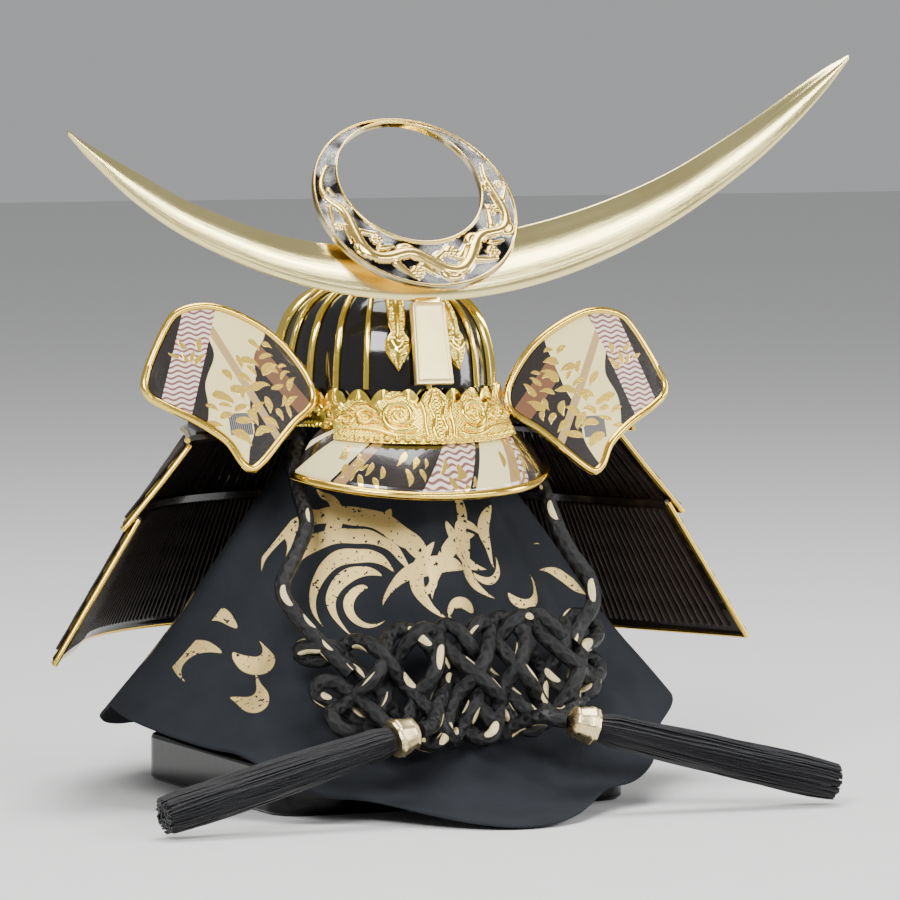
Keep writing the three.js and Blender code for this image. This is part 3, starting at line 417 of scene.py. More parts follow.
def many_grids(rings):
    """Corners and faces of many like tubes at once, given as (tube, step, side, 3), with closed ends."""
    tubes, steps, sides = rings.shape[:3]
    k, i, j = np.meshgrid(np.arange(tubes), np.arange(steps - 1), np.arange(sides), indexing="ij")
    at = lambda row, col: (k * steps + row) * sides + col % sides
    faces = np.stack([at(i, j), at(i + 1, j), at(i + 1, j + 1), at(i, j + 1)], -1).reshape(-1, 4)
    flat = np.stack([
        np.stack([i, i + 1, i + 1, i], -1) / (steps - 1) + 0.37 * k[..., None],
        np.stack([j, j, j + 1, j + 1], -1) / sides,
    ], -1).reshape(-1, 4, 2)
    first = np.arange(tubes)[:, None] * steps * sides + np.arange(sides)
    ends = np.concatenate([first[:, ::-1], first + (steps - 1) * sides])
    return {"corners": rings.reshape(-1, 3), "faces": faces, "flat": flat, "extra": ends.tolist()}


def strand_finish(name, dark, light):
    """Rayon strands: each strand has its own depth of colour and a soft gloss along it."""
    material, tree, shader = new_finish(name, Roughness=0.28, Specular_IOR_Level=0.35)
    flat = flat_place(tree)
    mottle = noise(tree, flat, 2.2, 3.0)
    feed(tree, shader, Base_Color=blend_colour(tree, mottle, dark, light))
    fine = noise(tree, flat, 160.0, 1.0)
    raise_surface(tree, shader, fine, 0.0001)
    return material


black_rayon = strand_finish("black_rayon", (0.002, 0.002, 0.003, 1), (0.010, 0.010, 0.012, 1))


def haze_group():
    """Shared by every polished finish: slow cloudiness and fine wiping marks, as a roughness between two
    values, and a tone from 0 to 1."""
    group = bpy.data.node_groups.new("polish_haze", "ShaderNodeTree")
    for name, kind, value in (("Place", "NodeSocketVector", None), ("Fineness", "NodeSocketFloat", 60.0),
                              ("Polished", "NodeSocketFloat", 0.1), ("Hazy", "NodeSocketFloat", 0.3)):
        socket = group.interface.new_socket(name=name, in_out="INPUT", socket_type=kind)
        if value is not None:
            socket.default_value = value
    for name in ("Roughness", "Tone"):
        group.interface.new_socket(name=name, in_out="OUTPUT", socket_type="NodeSocketFloat")
    given = group.nodes.new("NodeGroupInput").outputs
    slow = noise(group, given["Place"], given["Fineness"], 4.0)
    fine = noise(group, given["Place"], times(group, given["Fineness"], 14.0), 3.0)
    tone = plus(group, times(group, slow, 0.7), times(group, fine, 0.3))
    spread = put(group, "ShaderNodeMapRange", {
        "Value": tone, "From Min": 0.35, "From Max": 0.65,
        "To Min": given["Polished"], "To Max": given["Hazy"],
    })
    out = group.nodes.new("NodeGroupOutput")
    group.links.new(spread.outputs[0], out.inputs["Roughness"])
    group.links.new(tone, out.inputs["Tone"])
    return group


polish_haze = haze_group()


def add_haze(tree, shader, fineness, polished, hazy):
    """Puts the shared haze on the shader's roughness, and gives the haze's tone."""
    given = {"Place": object_place(tree), "Fineness": fineness, "Polished": polished, "Hazy": hazy}
    haze = put(tree, "ShaderNodeGroup", given, node_tree=polish_haze).outputs
    feed(tree, shader, Roughness=haze["Roughness"])
    return haze["Tone"]


def plated_finish(name, pale, deep, polished, hazy, fineness=45.0, hammer=0.0, hammer_size=900.0):
    """Plated metal: two close tones of the plating, haze in its polish, and if wanted a fine cast or satin
    grain."""
    material, tree, shader = new_finish(name, Metallic=1.0)
    tone = add_haze(tree, shader, fineness, polished, hazy)
    feed(tree, shader, Base_Color=blend_colour(tree, tone, deep, pale))
    if hammer:
        grain = noise(tree, object_place(tree), hammer_size, 3.0)
        raise_surface(tree, shader, grain, hammer)
    return material


cap_gilt = plated_finish("cap_gilt", (0.90, 0.76, 0.45, 1), (0.66, 0.50, 0.24, 1), 0.22, 0.45, hammer=0.00008)
cap_profile = [
    (0, 0.0001), (0.0, 0.0024), (0.06, 0.0038), (0.14, 0.0050), (0.2, 0.0053), (0.26, 0.0049),
    (0.34, 0.0050), (0.5, 0.0056), (0.72, 0.0060), (0.78, 0.0064), (0.84, 0.0064), (0.9, 0.0060),
    (1.0, 0.0061), (1.0, 0.0001),
]
core_profile = [(0, 0.0036), (0.1, 0.0048), (0.5, 0.0056), (0.955, 0.0057), (0.965, 0.0050)]
tassel_pieces = []
for number, (side, (start, finish)) in enumerate(tassel_ends.items()):
    start, finish = np.array(start), np.array(finish)
    cap_end = start + (finish - start) / np.linalg.norm(finish - start) * cap_length
    cap_part = grid_part(turned_part(start, cap_end, cap_profile, 40, 10, 0.03), ring=True, ends=True)
    cap = build(f"{side}_cap", f"{side}_tassel_cap", [cap_part], cap_gilt)
    skirt_start = cap_end + (finish - start) * 0.004
    core = turned_part(skirt_start, finish, core_profile, 24)
    strands = strand_bundle(skirt_start, finish, strand_count, 14, tassel_radius, strand_width, 11 + number)
    tassel_parts = [grid_part(core, ring=True, ends=True), many_grids(strands)]
    tassel = build(f"{side}_strands", f"{side}_tassel", tassel_parts, black_rayon)
    tassel_pieces += [cap, tassel]

# Stand: a square black lacquered plinth with a round post and a small domed head under the cloth. It is
# turned and planed wood, lacquered and polished; the post is let into the plinth.


def lacquer_finish(name, deep, warm, polished=0.04, hazy=0.14, clear=0.35, gloss=0.4):
    """Black lacquer: near black with a warm depth, under a clear polished coat with faint orange peel."""
    material, tree, shader = new_finish(
        name, Coat_Weight=clear, Coat_Roughness=0.05, Specular_IOR_Level=gloss,
    )
    tone = add_haze(tree, shader, 30.0, polished, hazy)
    feed(tree, shader, Base_Color=blend_colour(tree, tone, deep, warm))
    peel = noise(tree, object_place(tree), 420.0, 2.0)
    raise_surface(tree, shader, peel, 0.00004)
    return material


stand_lacquer = lacquer_finish(
    "stand_lacquer", (0.002, 0.002, 0.002, 1), (0.006, 0.006, 0.006, 1), 0.05, 0.12, clear=0.0, gloss=0.16,
)
plinth_half, plinth_corner = 0.0630, 0.0100


def rounded_square(half, corner, per_side):
    """The outline of a square with round corners, walked by angle: straight runs joined by quarter circles,
    with a point on the straight just before and after each."""
    quarter = np.linspace(0, np.pi / 2, per_side)
    before = -0.0015
    out = np.concatenate([[corner], corner * np.cos(quarter), [before]])
    along = np.concatenate([[before], corner * np.sin(quarter), [corner]])
    middle = half - corner
    runs = [
        np.stack([sx * middle + out * np.cos(turn) - along * np.sin(turn),
                  sy * middle + out * np.sin(turn) + along * np.cos(turn)], 1)
        for sx, sy, turn in ((1, 1, 0), (-1, 1, np.pi / 2), (-1, -1, np.pi), (1, -1, 1.5 * np.pi))
    ]
    return np.concatenate(runs)


edge = [
    (0.0016, 0.0), (0.0012, 0.0), (0.0, 0.0012), (0.0, 0.0015), (0.0, 0.0141), (0.0, 0.0144),
    (0.0005, 0.0155), (0.0016, 0.0160), (0.0022, 0.0160),
]
plinth_rows = [
    np.pad(
        rounded_square(plinth_half - inset, plinth_corner - inset * 0.6, 9), ((0, 0), (0, 1)),
        constant_values=height,
    )
    for inset, height in edge
]
plinth_part = grid_part(np.stack(plinth_rows), ring=True, ends=True)
build("plinth", "stand_plinth", [plinth_part], stand_lacquer, sharp=30)
for name in ("stand_post", "stand_head"):
    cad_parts[name].data.materials.clear()
    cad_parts[name].data.materials.append(stand_lacquer)

# Cloth: one square of charcoal weave, printed with gold foil and turned in at the hem, laid over the
# stand's head so that its corners fall to the front, back and sides. It hangs in soft folds under its own
# weight.
cloth_shoulder, cloth_top, cloth_start = 0.1656, 0.1682, 0.0150
fall_front = np.array([
    (0, 0), (0.045, 0.12), (0.11, 0.27), (0.25, 0.49), (0.36, 0.67), (0.45, 0.8), (0.6, 0.91),
    (0.81, 0.985), (1, 1),
])
fall_side = np.array([
    (0, 0), (0.07, 0.15), (0.15, 0.33), (0.37, 0.5), (0.56, 0.66), (0.7, 0.78), (0.82, 0.87), (0.92, 0.94),
    (1, 1),
])
fold_deep, fold_count, crease_deep, crease_count = 0.0026, 9, 0.0007, 23
hem_angles = np.radians([0, 30, 55, 90, 130, 180])
hem_reach = np.array([0.122, 0.099, 0.096, 0.098, 0.092, 0.106])
hem_height = np.array([0.0018, 0.009, 0.022, 0.032, 0.020, 0.006])


def soft_steps(value, at, table):
    """Reads a table between its rows, easing in and out of each row."""
    row = np.clip(np.searchsorted(at, value, side="right") - 1, 0, len(at) - 2)
    share = (value - at[row]) / (at[row + 1] - at[row])
    share = share * share * (3 - 2 * share)
    return table[row] + (table[row + 1] - table[row]) * share


def drape(turn, down):
    """The cloth's face by angle from the front and share of the way down: a cone whose sides follow one
    fall at the front and back and another at the sides, with folds that deepen downwards."""
    away = np.abs(np.arctan2(np.sin(turn), np.cos(turn)))
    reach, height = soft_steps(away, hem_angles, hem_reach), soft_steps(away, hem_angles, hem_height)
    frontness = np.cos(turn) ** 2
    curve = lambda table, col: np.interp(down * 8, np.arange(9), table[:, col])
    out = curve(fall_side, 0) * (1 - frontness) + curve(fall_front, 0) * frontness
    fall = curve(fall_side, 1) * (1 - frontness) + curve(fall_front, 1) * frontness
    calm = 1 - 0.75 * np.maximum(np.cos(turn), 0) ** 4
    crease = crease_deep * np.sin(crease_count * turn + 6 * down) * np.sin(np.pi * down)
    fold = (fold_deep * np.cos(fold_count * turn) * calm + crease) * np.minimum(out * 2, 1)
    radius = cloth_start + (reach - cloth_start) * out + fold
    return np.stack([
        radius * np.sin(turn), -radius * np.cos(turn), cloth_shoulder + (height - cloth_shoulder) * fall,
    ], -1)


turn, down = np.meshgrid(circle(288), np.linspace(1, 0, 110), indexing="ij")
cloth_face = drape(turn, down)
smoothing, rows_down = np.array([1, 4, 6, 4, 1]) / 16, cloth_face.shape[1]
for eased in range(6):
    cloth_face[:, 2:-2] = sum(w * cloth_face[:, s:rows_down - 4 + s] for s, w in enumerate(smoothing))
shoulder_in = np.linspace(1, 0.12, 8)[None, 1:, None]
top_middle = np.array([0, 0, cloth_top])
cloth_crown = top_middle + (cloth_face[:, -1:] - top_middle) * shoulder_in
cloth_grid = np.concatenate([cloth_face, cloth_crown], 1)


def stroke_group():
    """One brush stroke of a print: an arc of a circle, thickest at its middle and pointed at both ends, as
    a mask."""
    group = bpy.data.node_groups.new("brush_stroke", "ShaderNodeTree")
    names = ("Across", "Up", "Middle across", "Middle up", "Radius", "Start", "Sweep", "Width")
    for name in names:
        group.interface.new_socket(name=name, in_out="INPUT", socket_type="NodeSocketFloat")
    group.interface.new_socket(name="Mask", in_out="OUTPUT", socket_type="NodeSocketFloat")
    given = group.nodes.new("NodeGroupInput").outputs
    dx = minus(group, given["Across"], given["Middle across"])
    dy = minus(group, given["Up"], given["Middle up"])
    far = reckon(group, "SQRT", plus(group, times(group, dx, dx), times(group, dy, dy)))
    angle = reckon(group, "ARCTAN2", dy, dx)
    gone = reckon(group, "WRAP", minus(group, angle, given["Start"]), 2 * np.pi, 0.0)
    share = reckon(group, "DIVIDE", gone, given["Sweep"])
    inside = reckon(group, "LESS_THAN", share, 1.0)
    belly = reckon(group, "SINE", times(group, reckon(group, "POWER", share, 0.7), np.pi))
    off = reckon(group, "ABSOLUTE", minus(group, far, given["Radius"]))
    edge = minus(group, times(group, given["Width"], belly), off)
    sharp = put(group, "ShaderNodeMapRange", {"Value": edge, "From Min": -0.00008, "From Max": 0.00012})
    out = group.nodes.new("NodeGroupOutput")
    group.links.new(times(group, sharp.outputs[0], inside), out.inputs["Mask"])
    return group


brush_stroke = stroke_group()


def add_strokes(tree, across, up, strokes):
    """The union of several brush strokes, each row holding middle across, middle up, radius, start, sweep,
    width."""
    mask = None
    for row in strokes:
        given = dict(enumerate((across, up, *row)))
        stroke = put(tree, "ShaderNodeGroup", given, node_tree=brush_stroke).outputs[0]
        mask = stroke if mask is None else reckon(tree, "MAXIMUM", mask, stroke)
    return mask


in_metres = lambda rows: [(*np.array(row[:3]) / 1e3, *np.radians(row[3:5]), row[5] / 1e3) for row in rows]
# Rows of the cloth's print in millimetres and degrees: one wave crest, flames that run up to the right from
# it, long sweeps at the far right, and a cloud at the left. The side rows are a smaller cloud, set three
# times round the back.
front_strokes = [
    (-26, 68, 27, 20, 140, 3.0), (-25, 67, 21.5, 32, 150, 2.5), (-24, 66, 16, 44, 160, 2.3),
    (-23, 66, 11, 56, 180, 2.0), (-22, 66, 6.4, 80, 230, 1.7), (-40, 98, 12, 300, 95, 2.3),
    (-52, 86, 10, 310, 110, 2.0), (-30, 103, 8, 210, 110, 1.7), (2, 60, 20, 60, 100, 2.4),
    (10, 74, 15, 130, 110, 2.2), (20, 66, 22, 92, 80, 2.7), (28, 80, 14, 140, 110, 2.3),
    (24, 94, 17, 185, 80, 2.4), (4, 96, 12, 310, 100, 2.1), (-6, 92, 7, 140, 130, 1.6),
    (38, 86, 15, 130, 85, 2.2), (16, 86, 6, 20, 170, 1.5), (34, 70, 6, 200, 190, 1.7),
    (8, 62, 5, 10, 200, 1.6), (22, 78, 5, 200, 190, 1.4), (42, 46, 44, 10, 76, 2.0),
    (45, 44, 38, 26, 62, 1.8), (47, 42, 32, 42, 50, 1.6), (-4, 76, 4, 230, 210, 1.3),
    (-69, 57, 6, 10, 210, 2.6), (-61, 51, 5, 190, 210, 2.3), (-74, 46, 6.5, 40, 170, 2.4),
    (-66, 41, 6, 230, 160, 2.1),
]
side_strokes = [
    (-5, 3, 7, 20, 210, 2.3), (4, -3, 6, 190, 230, 2.1), (-3, -8, 9, 40, 110, 2.2), (7, 7, 8, 200, 120, 1.9),
    (0, -14, 8, 70, 110, 2.0), (-9, -6, 5, 90, 180, 1.5),
]
cloth_finish, tree, shader = new_finish("printed_cloth", Specular_IOR_Level=0.12)
place = object_place(tree)
spot = split(tree, place)
waver = noise(tree, place, 55.0, 1.0)
ripple = times(tree, minus(tree, waver, 0.5), 0.006)
across_cloth = plus(tree, spot[0], ripple)
height_up = plus(tree, spot[2], ripple)
foil = add_strokes(tree, across_cloth, height_up, in_metres(front_strokes))
foil = times(tree, foil, reckon(tree, "LESS_THAN", spot[1], -0.018))
for y, z in ((0.012, 0.056), (0.052, 0.050), (0.090, 0.044)):
    along = plus(tree, minus(tree, spot[1], y), ripple)
    motif = add_strokes(tree, along, minus(tree, spot[2], z), in_metres(side_strokes))
    foil = reckon(tree, "MAXIMUM", foil, motif)
worn = noise(tree, place, 700.0, 2.0)
foil = times(tree, foil, reckon(tree, "GREATER_THAN", worn, 0.36))
threads, thread_pitch = split(tree, flat_place(tree)), 0.0009
warp = reckon(tree, "SINE", times(tree, threads[0], 2 * np.pi / thread_pitch))
weft = reckon(tree, "SINE", times(tree, threads[1], 2 * np.pi / thread_pitch))
weave = reckon(tree, "MULTIPLY_ADD", times(tree, warp, weft), 0.5, 0.5)
slub = noise(tree, place, 90.0, 4.0)
dye_and_weave_highlight = blend_colour(tree, slub, (0.009, 0.010, 0.012, 1), (0.022, 0.024, 0.029, 1))
# Painted highlight: the raised crossings of the weave are painted lighter than the dyed ground, on top of the
# dye's own slub.
dye_and_weave_highlight = blend_colour(tree, times(tree, weave, 0.25), dye_and_weave_highlight, (0.042, 0.046, 0.054, 1))
feed(tree, shader, Base_Color=blend_colour(tree, foil, dye_and_weave_highlight, (0.80, 0.60, 0.24, 1)),
     Metallic=times(tree, foil, 0.85), Roughness=minus(tree, 0.92, times(tree, foil, 0.5)))
raise_surface(tree, shader, plus(tree, weave, times(tree, foil, 0.6)), 0.00012)
cloth_part = grid_part(cloth_grid, loop=True, pole=True, size=(0.62, 0.20))
cloth = build("draped_cloth", "cloth", [cloth_part], cloth_finish, sharp=180, wall=-0.0011)

# Bowl: the deep black bowl of the helmet, spun metal under black lacquer, open below.
bowl_half_width, bowl_half_depth, bowl_foot, bowl_height, bowl_power = 0.0362, 0.0395, 0.1250, 0.0455, 2 / 3.3


def dome(turn, rise, lift):
    """A boxy dome: a half ellipse whose sine and cosine are raised to a power under one, so its shoulders
    are full. turn starts at the front, rise goes from the foot to the crown, and lift stands off the
    surface."""
    out, up = np.abs(np.cos(rise)) ** bowl_power, np.abs(np.sin(rise)) ** bowl_power
    return np.stack(np.broadcast_arrays(
        (bowl_half_width + lift) * out * np.sin(turn), -(bowl_half_depth + lift) * out * np.cos(turn),
        bowl_foot + (bowl_height + lift) * up,
    ), -1)


black_lacquer = lacquer_finish("black_lacquer", (0.003, 0.003, 0.003, 1), (0.010, 0.008, 0.007, 1))
turn, rise = np.meshgrid(circle(132), np.radians(np.linspace(0, 88.5, 44)), indexing="ij")
bowl_part = grid_part(dome(turn, rise, 0.0), loop=True, pole=True)
build("lacquered_bowl", "bowl", [bowl_part], black_lacquer, wall=-0.0018)

# Ribs: narrow gilt bars with round backs, soldered to a gilt ring at the crown and laid down the bowl at
# even turns. At each side of the middle, a pointed front plate takes the place of a rib.
rib_gilt = plated_finish("rib_gilt", (1.0, 0.80, 0.17, 1), (0.90, 0.64, 0.09, 1), 0.07, 0.18)
rib_count, rib_low, rib_high, rib_width = 22, 0.0003, 0.0015, 0.0023
rib_crown_width, crown_radius = 0.0012, 0.0105
crown_rise = float(np.arccos((crown_radius / bowl_half_width) ** (1 / bowl_power)))


def bar_over(turn, rises, widths, low, high, sides=9):
    """A bar lying on the dome: a flat underside and a back bowed like a half circle, along one meridian."""
    centre = dome(np.full_like(rises, turn), rises, 0.0)
    half = (widths / 2 / np.hypot(centre[:, 0], centre[:, 1]))[:, None]
    bow = np.linspace(-1, 1, sides)
    lift = low + (high - low) * np.sqrt(np.clip(1 - np.abs(bow) ** 2.6, 0, 1))
    turns = np.concatenate([turn + half * bow, turn + half * bow[::-1]], 1)
    lifts = np.concatenate([lift, np.full(sides, low)])
    return dome(turns, rises[:, None], lifts[None, :])


rib_rises = np.linspace(np.radians(6), crown_rise, 30)
rib_widths = rib_width + (rib_crown_width - rib_width) * np.linspace(0, 1, 30) ** 2
rib_parts = [
    grid_part(
        bar_over(2 * np.pi * k / rib_count, rib_rises, rib_widths, rib_low, rib_high), ring=True, ends=True,
    )
    for k in range(rib_count) if k not in (1, rib_count - 1)
]
ring_reach = np.array([0.0118, 0.0118, 0.0112, 0.0092, 0.0070, 0.0052, 0.0047, 0.0047])
ring_lift = np.array([0.0003, 0.0012, 0.0017, 0.0018, 0.0018, 0.0017, 0.0012, 0.0003])
ring_rise = np.arccos((ring_reach / bowl_half_width) ** (1 / bowl_power))
rib_parts.append(grid_part(dome(circle(88)[:, None], ring_rise[None], ring_lift[None]), ring=True, loop=True))
build("gilt_ribs", "bowl_ribs", rib_parts, rib_gilt)

# Crown fitting: a stack of turned gilt rounds, the lowest cut as a flower, set over the ring of the ribs.
fitting_radius, fitting_height, fitting_foot = 0.0090, 0.0050, 0.1725
out, up = np.array([
    (0.0001, 0), (0.9, 0), (1.0, 0.05), (1.0, 0.16), (0.93, 0.22), (0.76, 0.26), (0.72, 0.32), (0.74, 0.42),
    (0.70, 0.50), (0.58, 0.54), (0.47, 0.60), (0.46, 0.72), (0.42, 0.9), (0.34, 0.97), (0.26, 1.0),
    (0.2, 0.9), (0.0001, 0.88),
]).T
turn = circle(96)[:, None]
reach = fitting_radius * out * (1 - 0.07 * np.abs(np.sin(6 * turn)) ** 3 * (out > 0.85))
crown_points = np.stack([
    reach * np.sin(turn), -reach * np.cos(turn), fitting_foot + fitting_height * up + 0 * turn,
], -1)
build("gilt_crown", "crown_fitting", [grid_part(crown_points, loop=True)], rib_gilt, sharp=35)

# Front plates: two pointed gilt plates over the ribs at each side of the middle, cut from sheet, with a
# raised spine.
plate_foot_up, plate_wide, plate_seat, plate_thick = 0.0170, 0.0092, 0.0018, 0.0010
plate_foot = float(np.arcsin((plate_foot_up / bowl_height) ** (1 / bowl_power)))
plate_top = crown_rise - np.radians(4)
plate_rises = np.linspace(plate_foot, plate_top, 160)
plate_share = np.linspace(0, 1, 160)
plate_outline = np.array([
    (0, .02), (.03, .30), (.07, .62), (.12, .92), (.16, 1.0), (.21, .92), (.25, .62), (.28, .55), (.33, .66),
    (.42, .72), (.6, .66), (.8, .60), (1, .56),
])
plate_widths = plate_wide * np.interp(plate_share, plate_outline[:, 0], plate_outline[:, 1])


def chased_plate(turn):
    """A front plate lying on the dome: bevelled edges, a raised spine, and a leaf chased in its widened
    point."""
    centre = dome(np.full_like(plate_rises, turn), plate_rises, 0.0)
    half = (plate_widths / 2 / np.hypot(centre[:, 0], centre[:, 1]))[:, None]
    bow = np.linspace(-1, 1, 31)[None]
    leaf = np.exp(-((plate_share[:, None] - 0.15) / 0.06) ** 2)
    veins = 0.5 + 0.5 * np.cos(70 * plate_share[:, None] - 7 * np.abs(bow))
    lift = plate_seat + plate_thick * np.clip((1 - np.abs(bow)) * 5, 0, 1) ** 0.6
    lift = lift + 0.0005 * np.exp(-(bow / 0.22) ** 2) + 0.0004 * leaf * veins * (np.abs(bow) < 0.78)
    notches = np.cos(150 * plate_share[:, None]) * (np.abs(bow) < 0.7) * (np.abs(bow) > 0.3)
    lift = lift + 0.0003 * (1 - leaf) * notches
    place, rises = turn + half * bow, plate_rises[:, None]
    return closed_plate(dome(place, rises, lift), dome(place, rises, plate_seat))


plate_parts = [chased_plate(side * 2 * np.pi / rib_count) for side in (-1, 1)]
bar_turn = np.linspace(-1.25, 1.25, 40)[:, None] * 2 * np.pi / rib_count
bar_rise = np.array([9, 9, 7, 4, 1, 0, 0])[None] * -np.pi / 180 + plate_top
bar_lift = np.array([0.0018, 0.0024, 0.0028, 0.0029, 0.0028, 0.0024, 0.0018])[None]
plate_parts.append(grid_part(dome(bar_turn, bar_rise, bar_lift), ring=True, ends=True))
build("pointed_plates", "front_plates", plate_parts, rib_gilt)

# Foot band: a gilt band round the foot of the bowl, with a beaded lower edge, chased scrolls and a row of
# leaf tips bent against the bowl. It is soldered at the back and sits over the ribs' feet.


def raised_lines(x, y, lines):
    """Relief over a flat place: each line is (places, half width), and its height at a point is that of a
    round bar of this width lying along it. The highest line wins."""
    height = np.zeros(x.shape)
    for places, half in lines:
        places = np.asarray(places, float)
        half = np.broadcast_to(np.asarray(half, float), len(places))
        away = (x[..., None] - places[:, 0]) ** 2 + (y[..., None] - places[:, 1]) ** 2
        height = np.maximum(height, np.sqrt(np.clip(half**2 - away, 0, None)).max(-1))
    return height


def spiral(middle, outer, turns, start, inner=0.0004, count=70):
    """Places along a spiral that winds inwards. Negative turns wind the other way."""
    t = np.linspace(0, 1, count)
    angle, reach = start + 2 * np.pi * turns * t, inner + (outer - inner) * (1 - t) ** 0.9
    return np.stack([middle[0] + reach * np.cos(angle), middle[1] + reach * np.sin(angle)], 1)


band_half_width, band_half_depth, band_thick = 0.0380, 0.0413, 0.0014
band_foot, band_high, leaf_high, leaf_count = 0.1240, 0.0090, 0.0040, 30
band_turn, band_rows = np.meshgrid(circle(900), np.linspace(0, 1, 26), indexing="ij")
band_leaf = np.abs(np.cos(leaf_count / 2 * band_turn)) ** 0.8
band_height = band_foot + (band_high + leaf_high * band_leaf) * band_rows
cell = 2 * np.pi / leaf_count
across = (np.mod(band_turn + cell / 2, cell) - cell / 2) * 0.0410
band_lines = [
    (spiral((-0.0012, 0.0050), 0.0016, 1.2, 0.4), 0.0005),
    (spiral((0.0016, 0.0058), 0.0015, -1.2, 3.4), 0.0005),
    ([(0.0015 * bead, 0.0010) for bead in range(-3, 4)], 0.0008),
    (np.stack([np.linspace(-0.0045, 0.0045, 40), np.full(40, 0.0086)], 1), 0.0004),
    (np.stack([np.zeros(20), np.linspace(0.0088, 0.0128, 20)], 1), np.linspace(0.0009, 0.0003, 20)),
]
band_relief = raised_lines(across, (band_high + leaf_high) * band_rows, band_lines)
outer, inner = [
    np.stack([
        (band_half_width + grow) * np.sin(band_turn), -(band_half_depth + grow) * np.cos(band_turn),
        band_height,
    ], -1)
    for grow in (band_thick - 0.0005 * band_rows**3 + band_relief * 0.75, 0.0)
]
cast_gilt = plated_finish(
    "cast_gilt", (1.0, 0.80, 0.13, 1), (0.92, 0.62, 0.06, 1), 0.12, 0.24, hammer=0.00002,
)
build("chased_band", "foot_band", [closed_plate(outer, inner, loop=True)], cast_gilt)

# Visor: a short peak of printed leather over a metal core, fixed by a gilt rivet at each side. Its lip has
# a gilt bead.


root_half_width, root_half_depth, root_height, root_turn = 0.0397, 0.0430, 0.1250, np.radians(52)
lip_half_width, lip_back, lip_reach = 0.046, 0.022, 0.040
lip_height, lip_drop, lip_turn = 0.1128, 0.0078, np.radians(75)
visor_bulge, visor_thick, visor_bead = 0.0022, 0.0016, 0.0014


def visor_place(side, out, drop):
    """The visor from its root, on the band, to its lip, which is wider and lower; side goes from -1 to 1
    across it, out from root to lip, and drop measures down from its upper face."""
    root, lip, out = root_turn * side, lip_turn * side, np.asarray(out)[..., None]
    near = np.stack([
        root_half_width * np.sin(root), -root_half_depth * np.cos(root), root_height + 0 * side,
    ], -1)
    ahead, below = -lip_back - lip_reach * np.cos(lip), lip_height - lip_drop * np.cos(lip)
    place = near + (np.stack([lip_half_width * np.sin(lip), ahead, below], -1) - near) * out
    lift = visor_bulge * np.sin(np.pi * np.clip(out, 0, 1))[..., 0] - drop
    return place + np.stack([0 * lift, 0 * lift, lift], -1)


def leaf_spray(start, heading, curl, count, size):
    """Stroke rows of one spray: leaves in pairs along a stem that bends by curl degrees a leaf, each leaf
    an arc that leaves the stem on alternate sides and gets smaller. Sizes are in millimetres and angles in
    degrees."""
    rows, spot = [], np.array(start, float)
    for k in range(count):
        side = 1 if k % 2 else -1
        leaf = size * (1 - 0.5 * k / count)
        aim = np.radians(heading + 42 * side)
        radius = leaf * 1.1
        middle = spot - radius * side * np.array([np.sin(aim), -np.cos(aim)])
        first = np.degrees(np.arctan2(spot[1] - middle[1], spot[0] - middle[0])) % 360
        rows.append((*middle, radius, first if side > 0 else (first - 62) % 360, 62, leaf * 0.23))
        step = np.radians(heading)
        spot = spot + 0.55 * leaf * np.array([np.cos(step), np.sin(step)])
        heading += curl
    return rows


def leather_finish(name, layout, sprays, layers):
    """Glossy printed leather. layout turns the tree into a flat place on the piece in metres; layers gives
    bands as (mask, colour), of print, and on the side plates a painted reflection too; the sprays of gilt
    leaves lie over them."""
    material, tree, shader = new_finish(name, Roughness=0.20, Coat_Weight=1.0, Coat_Roughness=0.05)
    place = object_place(tree)
    across, up = layout(tree, place)
    slow = noise(tree, place, 60.0, 2.0)
    tone = blend_colour(tree, slow, (0.003, 0.003, 0.003, 1), (0.020, 0.011, 0.007, 1))
    for mask, colour in layers(tree, across, up):
        tone = blend_colour(tree, mask, tone, colour)
    stray = times(tree, minus(tree, noise(tree, place, 140.0, 1.0), 0.5), 0.003)
    gold = add_strokes(tree, plus(tree, across, stray), plus(tree, up, stray), in_metres(sprays))
    tone = blend_colour(tree, gold, tone, (0.92, 0.62, 0.10, 1))
    feed(tree, shader, Base_Color=tone, Metallic=times(tree, gold, 0.8))
    raise_surface(tree, shader, plus(tree, noise(tree, place, 1400.0, 2.0), gold), 0.00005)
    return material


def within(tree, value, low, high):
    """1 where the value lies between low and high."""
    return times(tree, reckon(tree, "GREATER_THAN", value, low), reckon(tree, "LESS_THAN", value, high))


def wavy_lines(tree, across, up, mask):
    """Fine pale waves on a rosy ground, inside the mask."""
    sway = times(tree, reckon(tree, "SINE", times(tree, across, 1250.0)), 1.5)
    wave = reckon(tree, "SINE", plus(tree, times(tree, up, 3400.0), sway))
    return [(mask, (0.20, 0.09, 0.07, 1)),
            (times(tree, mask, reckon(tree, "GREATER_THAN", wave, -0.2)), (0.74, 0.60, 0.54, 1))]


def visor_layout(tree, place):
    """Round the visor from its middle, and out from its root."""
    flat = flat_place(tree)
    parts = split(tree, flat)
    around = reckon(tree, "MULTIPLY_ADD", parts[0], 0.100, -0.050)
    return around, times(tree, parts[1], 0.020 * 55 / 27)


def visor_layers(tree, across, up):
    """Slanting bands: a cream one, and two rosy ones filled with waves."""
    slant = reckon(tree, "MULTIPLY_ADD", up, 0.8, across)
    cream = within(tree, slant, -0.0420, -0.0390)
    tan = plus(tree, within(tree, slant, -0.0190, -0.0150), within(tree, slant, 0.0350, 0.0400))
    pale = plus(tree, within(tree, slant, -0.0340, -0.0200), within(tree, slant, 0.0225, 0.0350))
    rosy = plus(tree, within(tree, slant, 0.0070, 0.0205), within(tree, slant, 0.0400, 0.0440))
    return [(cream, (0.80, 0.72, 0.46, 1)), (pale, (0.78, 0.68, 0.36, 1)), (tan, (0.34, 0.20, 0.08, 1)),
            *wavy_lines(tree, across, up, rosy)]


